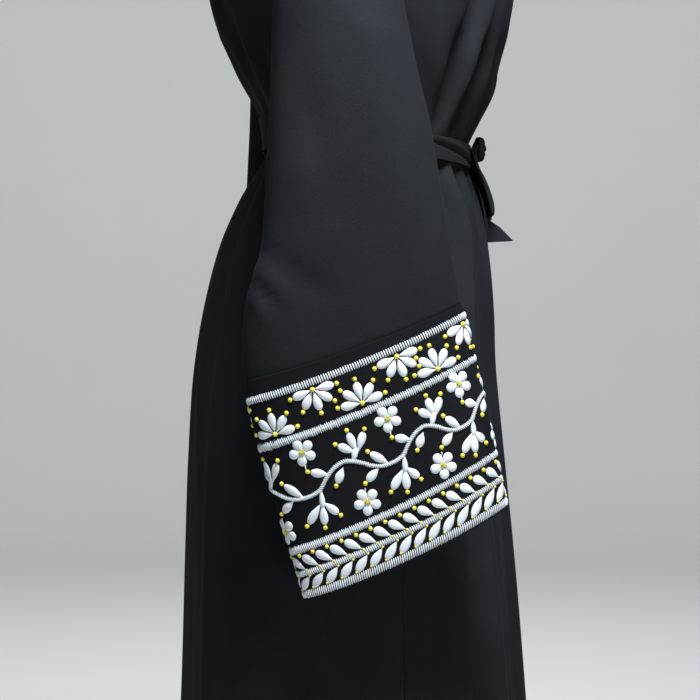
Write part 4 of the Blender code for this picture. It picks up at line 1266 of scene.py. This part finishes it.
# Satin bars: distance between stitches, their lean, width and rise, how far their ends stray,
# and the share of the width that is left at the ends. The cuff's height is a share of its girth
CUFF_HEIGHT_SHARE = 0.42
Bar = namedtuple("Bar", "lines pitch lean width rise stray taper")
BARS = rows_of(
    Bar,
    (FIRST_BAR, 2.20 * MM, 1.0 * MM, 1.30 * MM, 1.2 * MM, 0.25 * MM, 0.70),
    (SECOND_BAR, 1.90 * MM, 1.3 * MM, 1.45 * MM, 1.3 * MM, 0.50 * MM, 0.30),
    (THIRD_BAR, 1.90 * MM, 1.1 * MM, 1.45 * MM, 1.3 * MM, 0.50 * MM, 0.30),
    (GARLAND_STEM, 1.95 * MM, 1.3 * MM, 1.40 * MM, 1.2 * MM, 0.30 * MM, 0.50),
    (HEM_BAR, 2.10 * MM, -0.6 * MM, 1.25 * MM, 1.2 * MM, 0.25 * MM, 0.70),
)


def bar_stitches(surface, bar, chance):
    """A bar of satin stitches side by side all round the cuff."""
    count = round(surface.length_round / bar.pitch)
    places = np.arange(count) / count
    lean = bar.lean / surface.length_round / 2
    stray = bar.stray / (surface.length_round * CUFF_HEIGHT_SHARE)
    starts = on_line(bar.lines[0], places - lean)
    ends = on_line(bar.lines[1], places + lean)
    starts[:, 1] += chance.uniform(-stray, stray, count)
    ends[:, 1] += chance.uniform(-stray, stray, count)
    width = bar.width * chance.uniform(0.92, 1.06, count)
    return stitch_mesh(surface, starts, ends, width, bar.rise, bar.taper)


# Padded satin shapes: a grid over each outline. The outline starts at a share of its width,
# is widest at a share of its length, and has a round end
Outline = namedtuple("Outline", "start widest")
PETAL = Outline(0.10, 0.66)
LEAF = Outline(0.08, 0.60)
ROUND_PETAL = Outline(0.30, 0.60)
SPINDLE = Outline(0.05, 0.60)
DROP = Outline(0.03, 0.70)
BULB = Outline(0.45, 0.55)
PAD_ROWS = 14
PAD_COLUMNS = 9
PAD_SINK = -0.0003


def outline_width(outline, along):
    climb = np.minimum(along / outline.widest, 1)
    rising = outline.start + (1 - outline.start) * np.sin(math.pi / 2 * climb) ** 1.5
    past = np.clip((along - outline.widest) / (1 - outline.widest), 0, 1)
    return np.where(along < outline.widest, rising, np.sqrt(1 - past**2))


def pad_mesh(surface, bases, tips, widths, rise, outline):
    """(points, faces, thread places) of padded shapes, each from its base spot to its tip spot."""
    along = (1 - np.cos(math.pi * np.linspace(0, 1, PAD_ROWS))) / 2
    across = np.sin(math.pi / 2 * np.linspace(-1, 1, PAD_COLUMNS))
    middle = (bases + tips) / 2
    run = surface.flat_step(middle, tips - bases)
    length = np.linalg.norm(run, axis=-1)
    ahead = run / length[:, None]
    beside = np.stack([-ahead[:, 1], ahead[:, 0]], axis=-1)
    half = np.asarray(widths)[..., None] / 2 * outline_width(outline, along)
    half = np.broadcast_to(half, (len(bases), PAD_ROWS))
    flat = (
        run[:, None, None] * (along - 0.5)[:, None, None]
        + beside[:, None, None] * (half[:, :, None] * across)[..., None]
    )
    spots = np.broadcast_to(middle[:, None, None], flat.shape)
    spots = spots + surface.spot_steps(spots, flat)
    full = np.sqrt(np.maximum(1 - across**2, 0))
    ends = np.minimum(1.0, (outline_width(outline, along) + 0.15) ** 0.8) * np.sin(math.pi * along) ** 0.25
    lifts = PAD_SINK + (rise - PAD_SINK) * full * ends[:, None]
    points = surface.lay(spots, np.broadcast_to(lifts, spots.shape[:3])).reshape(-1, 3)
    thread = np.stack(np.broadcast_arrays(
        length[:, None, None] * along[:, None], half[:, :, None] * across), axis=-1).reshape(-1, 2)
    faces = grid_faces(PAD_ROWS, PAD_COLUMNS)
    return points, repeat_faces(faces, len(bases), PAD_ROWS * PAD_COLUMNS), thread


DOT_RINGS = 5
DOT_SIDES = 10


def dot_mesh(surface, spots, radii, rise, chance):
    """(points, faces) of small round knots of thread, each a lumpy dome."""
    climb = np.linspace(0, math.pi / 2, DOT_RINGS)
    turns = 2 * math.pi * np.arange(DOT_SIDES) / DOT_SIDES
    radii = np.broadcast_to(radii, len(spots))
    lumps = chance.uniform(0.9, 1.1, (len(spots), DOT_RINGS, DOT_SIDES))
    round_off = np.maximum(np.cos(climb), 0.08)[:, None] * lumps
    flat = np.stack([round_off * np.cos(turns), round_off * np.sin(turns)], axis=-1)
    flat = flat * radii[:, None, None, None]
    centres = np.broadcast_to(spots[:, None, None], flat.shape)
    lifts = PAD_SINK + (rise - PAD_SINK) * np.sin(climb)[:, None] + 0 * flat[..., 0]
    placed = centres + surface.spot_steps(centres, flat)
    points = surface.lay(placed, lifts).reshape(-1, 3)
    faces = grid_faces(DOT_RINGS, DOT_SIDES, closed=True)
    faces.append(list(range((DOT_RINGS - 1) * DOT_SIDES, DOT_RINGS * DOT_SIDES)))
    return points, repeat_faces(faces, len(spots), DOT_RINGS * DOT_SIDES)


# The repeated motifs. Six repeats go round the cuff, a little wider behind than in front
REPEATS = 6
REPEAT_WARP = 0.022
DAISY_START = 0.053
VINE_START = 0.103
VINE_PITCH = 82.9


def repeat_places(start, repeats):
    """Places round the cuff for numbers of repeats past the start of a row of motifs."""
    even = start + np.asarray(repeats, float) / REPEATS
    return even + REPEAT_WARP * np.sin(2 * math.pi * even)


# Half daisies of five petals. Rising ones stand on the second bar, hanging ones under the
# first, half a repeat on, each row's hearts a little clear of its bar
DaisyRow = namedtuple("DaisyRow", "line shift upward clear")
DAISY_ROWS = (
    DaisyRow(SECOND_BAR[0], 0.0, -1.0, 4.4 * MM),
    DaisyRow(FIRST_BAR[1], 0.5, 1.0, 3.2 * MM),
)
DAISY_FAN = (-82, -41, 2, 45, 86)
DAISY_HEART = 1.6 * MM
DAISY_TIP = 19.4 * MM
DAISY_PETAL_WIDTH = 8.1 * MM
DAISY_DOT = 21.9 * MM
DOT_RADIUS = 2.15 * MM
HEART_RADIUS = 2.3 * MM

# How high the sewing stands on the cloth
PETAL_RISE = 1.5 * MM
DOT_RISE = 1.9 * MM
HEART_RISE = 2.6 * MM
VINE_RISE = 1.5 * MM
THIN_THREAD_RISE = 1.1 * MM
UPPER_LEAF_RISE = 1.4 * MM
LOWER_LEAF_RISE = 1.3 * MM

# Vine motifs, measured from each repeat's fork: mm along the band, and shares of the way from
# the second bar down to the third
VINE_LINE = (
    (-1.0, 0.556), (4.0, 0.500), (8.8, 0.445), (15.4, 0.392), (21.0, 0.366), (27.4, 0.355),
    (33.0, 0.375), (39.0, 0.410), (45.0, 0.457), (50.0, 0.500), (58.0, 0.545), (66.0, 0.565),
    (75.0, 0.566), (82.9, 0.545),
)
VINE_WIDTH = 3.8 * MM
VINE_STITCH = 1.80 * MM
VINE_LEAN = 1.1 * MM
VINE_THREAD = 1.35 * MM
VineShape = namedtuple("VineShape", "base tip width outline dot")
VINE_SHAPES = rows_of(
    VineShape,
    ((11.5, 0.425), (-4.0, 0.335), 8.0 * MM, LEAF, True),
    ((25.5, 0.405), (16.2, 0.540), 8.0 * MM, LEAF, True),
    ((-15.2, 0.570), (-30.6, 0.375), 7.8 * MM, LEAF, True),
    ((57.4, 0.556), (42.8, 0.640), 8.0 * MM, LEAF, True),
    ((40.2, 0.322), (25.8, 0.176), 7.8 * MM, PETAL, True),
    ((41.0, 0.318), (37.6, 0.092), 7.6 * MM, PETAL, True),
    ((42.0, 0.322), (52.0, 0.142), 7.6 * MM, PETAL, True),
    ((35.5, 0.392), (41.6, 0.262), 5.6 * MM, BULB, False),
    ((-2.4, 0.670), (-19.2, 0.830), 8.0 * MM, PETAL, True),
    ((-1.6, 0.675), (-4.9, 0.895), 7.8 * MM, PETAL, True),
    ((-0.8, 0.668), (9.9, 0.836), 7.7 * MM, PETAL, True),
    ((0.4, 0.560), (-2.2, 0.730), 5.2 * MM, BULB, False),
)
VINE_DOT_BEYOND = 2.3 * MM
BLOSSOMS = ((-6.0, 0.117), (38.1, 0.837))
BLOSSOM_TURNS = (55, 127, 199, 271, 343)
BLOSSOM_HEART = 1.0 * MM
BLOSSOM_TIP = 12.4 * MM
BLOSSOM_PETAL_WIDTH = 8.9 * MM
BLOSSOM_STAR = 2.6 * MM
STAR_THREAD = 0.8 * MM
STAR_TURN = 0.63
THIN_THREAD_WIDTH = 1.0 * MM
THIN_THREADS = (
    ((-7.0, 0.305), (-6.5, 0.240)),
    ((39.5, 0.690), (38.9, 0.735)),
    ((0.6, 0.540), (-1.6, 0.640)),
    ((33.6, 0.372), (36.8, 0.352)),
)

# The garland: pairs of leaves on the stem, the upper ones with a dot, the lower ones pointed
GARLAND_PAIRS = 31
GARLAND_START = 0.034
GARLAND_UPPER_BASE = 16.6 * MM
GARLAND_UPPER_SINK = 0.4 * MM
GARLAND_FRONT_SHARE = 0.74
GARLAND_UPPER_CLEAR = 13.2 * MM
GARLAND_UPPER_TIP = 2.2 * MM
GARLAND_UPPER_WIDTH = 8.2 * MM
GARLAND_LOWER_LENGTH = 14.6 * MM
GARLAND_LOWER_REACH = 0.93
GARLAND_LOWER_WIDTH = 8.0 * MM
GARLAND_LOWER_SHIFT = 19.0 * MM
GARLAND_DOT_RADIUS = 2.0 * MM
SMALL_DOT_RADIUS = 1.2 * MM


def vine_spots(fork, points):
    """Spots of a repeat's points, given in mm from its fork and shares of the band."""
    points = np.asarray(points, float)
    places = repeat_places(VINE_START, fork + points[..., 0] / VINE_PITCH)
    top, low = line_height(SECOND_BAR[1], places), line_height(THIRD_BAR[0], places)
    return np.stack([places, top + (low - top) * points[..., 1]], axis=-1)


def offset_spots(surface, spots, metres):
    return spots + surface.spot_steps(spots, np.broadcast_to(metres, spots.shape))


class Sewing:
    """Collects the meshes of one kind of sewing, to be joined in one piece."""

    def __init__(self):
        self.points, self.faces, self.thread, self.count = [], [], [], 0

    def add(self, points, faces, thread=None):
        self.points.append(points)
        self.faces += [tuple(corner + self.count for corner in face) for face in faces]
        self.thread.append(np.zeros((len(points), 2)) if thread is None else thread)
        self.count += len(points)


def sew_daisies(surface, pads, knots, chance):
    for row in DAISY_ROWS:
        places = repeat_places(DAISY_START, np.arange(REPEATS) + row.shift)
        hearts = offset_spots(surface, on_line(row.line, places), (0.0, row.upward * row.clear))
        for degrees in DAISY_FAN:
            turn = math.radians(degrees)
            way = np.array([math.sin(turn), row.upward * math.cos(turn)])
            bases = offset_spots(surface, hearts, way * DAISY_HEART)
            tips = offset_spots(surface, hearts, way * DAISY_TIP)
            pads.add(*pad_mesh(surface, bases, tips, DAISY_PETAL_WIDTH, PETAL_RISE, PETAL))
            dots = offset_spots(surface, hearts, way * DAISY_DOT)
            knots.add(*dot_mesh(surface, dots, DOT_RADIUS, DOT_RISE, chance))
        knots.add(*dot_mesh(surface, hearts, HEART_RADIUS, HEART_RISE, chance))


def sew_vine(surface, threads, pads, knots, chance):
    """The rope-like vine, its leaves, tulips and five-petalled blossoms, repeat by repeat."""
    fine = np.linspace(0, len(VINE_LINE) - 1, 40 * len(VINE_LINE))
    curve = curve_points(VINE_LINE, fine)
    for fork in range(REPEATS):
        spots = vine_spots(fork, curve)
        steps = surface.flat_step(spots[:-1], np.diff(spots, axis=0))
        passed = passed_along(steps)
        wanted = np.arange(0.0, passed[-1], VINE_STITCH)
        middle = read_line(wanted, passed, spots)
        way = unit(read_line(wanted, passed[:-1], steps))
        beside = np.stack([-way[:, 1], way[:, 0]], axis=-1)
        reach = beside * VINE_WIDTH / 2 + way * VINE_LEAN
        reach = reach * chance.uniform(0.92, 1.08, (len(wanted), 1))
        starts = middle - surface.spot_steps(middle, reach)
        ends = middle + surface.spot_steps(middle, reach)
        threads.add(*stitch_mesh(surface, starts, ends, VINE_THREAD, VINE_RISE, 0.40))
        for shape in VINE_SHAPES:
            base = vine_spots(fork, [shape.base])
            tip = vine_spots(fork, [shape.tip])
            pads.add(*pad_mesh(surface, base, tip, shape.width, PETAL_RISE, shape.outline))
            if shape.dot:
                way = unit(surface.flat_step(tip, tip - base))
                dots = offset_spots(surface, tip, way * VINE_DOT_BEYOND)
                knots.add(*dot_mesh(surface, dots, DOT_RADIUS, DOT_RISE, chance))
        for centre in BLOSSOMS:
            sew_blossom(surface, vine_spots(fork, [centre]), pads, knots)
        ends = vine_spots(fork, THIN_THREADS)
        thin = stitch_mesh(
            surface, ends[:, 0], ends[:, 1], THIN_THREAD_WIDTH, THIN_THREAD_RISE, 0.8)
        threads.add(*thin)


def sew_blossom(surface, centre, pads, knots):
    """A flower of five round petals with a small yellow star in its middle."""
    for degrees in BLOSSOM_TURNS:
        turn = math.radians(degrees)
        way = np.array([math.sin(turn), -math.cos(turn)])
        base = offset_spots(surface, centre, way * BLOSSOM_HEART)
        tip = offset_spots(surface, centre, way * BLOSSOM_TIP)
        pads.add(*pad_mesh(surface, base, tip, BLOSSOM_PETAL_WIDTH, PETAL_RISE, ROUND_PETAL))
        half = np.array([math.sin(turn + STAR_TURN), -math.cos(turn + STAR_TURN)])
        star = offset_spots(surface, centre, half * BLOSSOM_STAR)
        knots.add(*stitch_mesh(surface, centre, star, STAR_THREAD, HEART_RISE, 0.6))


def sew_garland(surface, pads, knots, chance):
    places = GARLAND_START + np.arange(GARLAND_PAIRS) / GARLAND_PAIRS
    stem = on_line(GARLAND_STEM[0], places)
    ahead = GARLAND_UPPER_BASE * (1.0 - (1.0 - GARLAND_FRONT_SHARE) * towards_front(places))
    below = GARLAND_UPPER_SINK + 0 * ahead
    bases = offset_spots(surface, stem, np.stack([ahead, below], axis=-1))
    tips = offset_spots(surface, stem, (GARLAND_UPPER_TIP, GARLAND_UPPER_TIP / 2 - GARLAND_UPPER_CLEAR))
    pads.add(*pad_mesh(surface, bases, tips, GARLAND_UPPER_WIDTH, UPPER_LEAF_RISE, DROP))
    dots = offset_spots(surface, stem, (0.0, -GARLAND_UPPER_CLEAR))
    knots.add(*dot_mesh(surface, dots, GARLAND_DOT_RADIUS, 1.8 * MM, chance))
    knots.add(*dot_mesh(surface, bases, SMALL_DOT_RADIUS, 1.5 * MM, chance))
    places = places + GARLAND_LOWER_SHIFT / surface.length_round
    bases = on_line(GARLAND_STEM[1], places)
    places = places - GARLAND_LOWER_LENGTH / surface.length_round
    tips, hem = on_line(GARLAND_STEM[1], places), on_line(HEM_BAR[0], places)
    tips = tips + (hem - tips) * GARLAND_LOWER_REACH
    pads.add(*pad_mesh(surface, bases, tips, GARLAND_LOWER_WIDTH, LOWER_LEAF_RISE, SPINDLE))
    for ends in (bases, tips):
        knots.add(*dot_mesh(surface, ends, SMALL_DOT_RADIUS, 1.4 * MM, chance))


def sew_cuff():
    """(stitches, padded shapes, yellow knots) of the right cuff."""
    surface = CuffSurface()
    chance = np.random.default_rng(7)
    bars, threads, pads, knots = Sewing(), Sewing(), Sewing(), Sewing()
    for bar in BARS:
        bars.add(*bar_stitches(surface, bar, chance))
    sew_vine(surface, threads, pads, knots, chance)
    sew_daisies(surface, pads, knots, chance)
    sew_garland(surface, pads, knots, chance)
    return {"bar_stitches": bars, "vine_stitches": threads, "satin_petals": pads, "yellow_knots": knots}


SEWN_WITH = {
    "bar_stitches": WHITE_THREAD,
    "vine_stitches": WHITE_THREAD,
    "satin_petals": SATIN_THREAD,
    "yellow_knots": YELLOW_THREAD,
}


def add_embroidery():
    """The sewing of both cuffs. The left one is the right one's mirror image."""
    made = {"right": [], "left": []}
    for name, sewing in sew_cuff().items():
        points = np.concatenate(sewing.points)
        uv = np.concatenate(sewing.thread)
        mirrored = left_from_right(points, np.full(len(points), float(len(SLEEVE_STATIONS))))
        for side, placed, turned in (("right", points, False), ("left", mirrored, True)):
            faces = [face[::-1] if turned else face for face in sewing.faces]
            piece = add_piece(
                f"{name}_{side}", placed, faces, SEWN_WITH[name], uv)
            made[side].append(piece)
    return made


# The studio: a round paper ground that curves up on all sides, and soft lights

FLOOR_GAP = 0.006
FLOOR_RINGS = (0.4, 1.2, 2.2)
FLOOR_RADIUS = 6.2
SWEEP_RADIUS = 1.6
SWEEP_TOP = 1.8
SWEEP_STEPS = 17
FLOOR_SIDES = 96


def add_floor():
    """A round floor under the hem that curves up to a low wall, seen behind the robe."""
    bend = np.linspace(0, math.pi / 2, SWEEP_STEPS)
    radii = np.concatenate([FLOOR_RINGS, FLOOR_RADIUS + SWEEP_RADIUS * np.sin(bend)])
    heights = np.concatenate([np.zeros(len(FLOOR_RINGS)), SWEEP_RADIUS * (1 - np.cos(bend))])
    radii = np.append(radii, radii[-1])
    heights = np.append(heights, SWEEP_TOP - HEM_Z)
    turns = 2 * math.pi * np.arange(FLOOR_SIDES) / FLOOR_SIDES
    rings = np.stack(np.broadcast_arrays(
        radii[:, None] * np.cos(turns), radii[:, None] * np.sin(turns),
        heights[:, None] + HEM_Z - FLOOR_GAP), axis=-1)
    faces = grid_faces(len(radii), FLOOR_SIDES, closed=True)
    faces.append(list(range(FLOOR_SIDES))[::-1])
    mesh = bpy.data.meshes.new("paper_ground")
    mesh.from_pydata(rings.reshape(-1, 3).tolist(), [], faces)
    mesh.validate()
    mesh.shade_smooth()
    mesh.materials.append(paper_material())
    floor = bpy.data.objects.new("paper_ground", mesh)
    bpy.context.scene.collection.objects.link(floor)


WORLD_COLOUR = "#e6e9ec"
WORLD_STRENGTH = 0.22

# Lights: where each stands, what it points at, its size and power
Light = namedtuple("Light", "name place aim size watts colour")
LIGHTS = rows_of(
    Light,
    ("soft_key", (-0.72, -0.15, 0.38), (-0.25, 0.0, -0.40), 0.4, 38.0, "#f6f9ff"),
    ("low_fill", (-1.5, -0.7, -1.25), (-0.1, 0.0, -1.1), 0.7, 7.0, "#f8faff"),
    ("ground_light", (1.6, 0.0, 2.2), (7.8, 0.0, -0.6), 1.5, 150.0, "#f8faff"),
)


def add_lights():
    for light in LIGHTS:
        data = bpy.data.lights.new(light.name, "AREA")
        data.shape = "DISK"
        data.size = light.size
        data.energy = light.watts
        data.color = linear(light.colour)[:3]
        lamp = bpy.data.objects.new(light.name, data)
        lamp.location = light.place
        aim = Vector(light.aim) - Vector(light.place)
        lamp.rotation_euler = aim.to_track_quat("-Z", "Y").to_euler()
        bpy.context.scene.collection.objects.link(lamp)
    world = bpy.data.worlds.new("pale_studio")
    world.use_nodes = True
    sky = world.node_tree.nodes["Background"].inputs
    sky["Color"].default_value = linear(WORLD_COLOUR)
    sky["Strength"].default_value = WORLD_STRENGTH
    bpy.context.scene.world = world
    bpy.context.scene.view_settings.view_transform = "Standard"


def add_camera():
    data = bpy.data.cameras.new("photo_camera")
    data.sensor_width = SENSOR_MM
    data.lens = SENSOR_MM * FOCAL_PX / FRAME_PX
    camera = bpy.data.objects.new("photo_camera", data)
    camera.location = CAMERA_PLACE
    camera.rotation_euler = CAMERA_TURN
    bpy.context.scene.collection.objects.link(camera)
    bpy.context.scene.camera = camera


# How each cloth piece was cut, flat: greatest width and length in metres, and its area
Cut = namedtuple("Cut", "width length area held")


def main():
    add_panel("back", ("back_left", "back_right"))
    add_panel("front_right", ("front_right",))
    add_panel("front_left", ("front_left",))
    add_sleeves()
    add_belt()
    add_knot()
    for name in RIBBONS:
        add_ribbon(name)
    embroidery = add_embroidery()
    add_floor()
    add_lights()
    add_camera()


main()
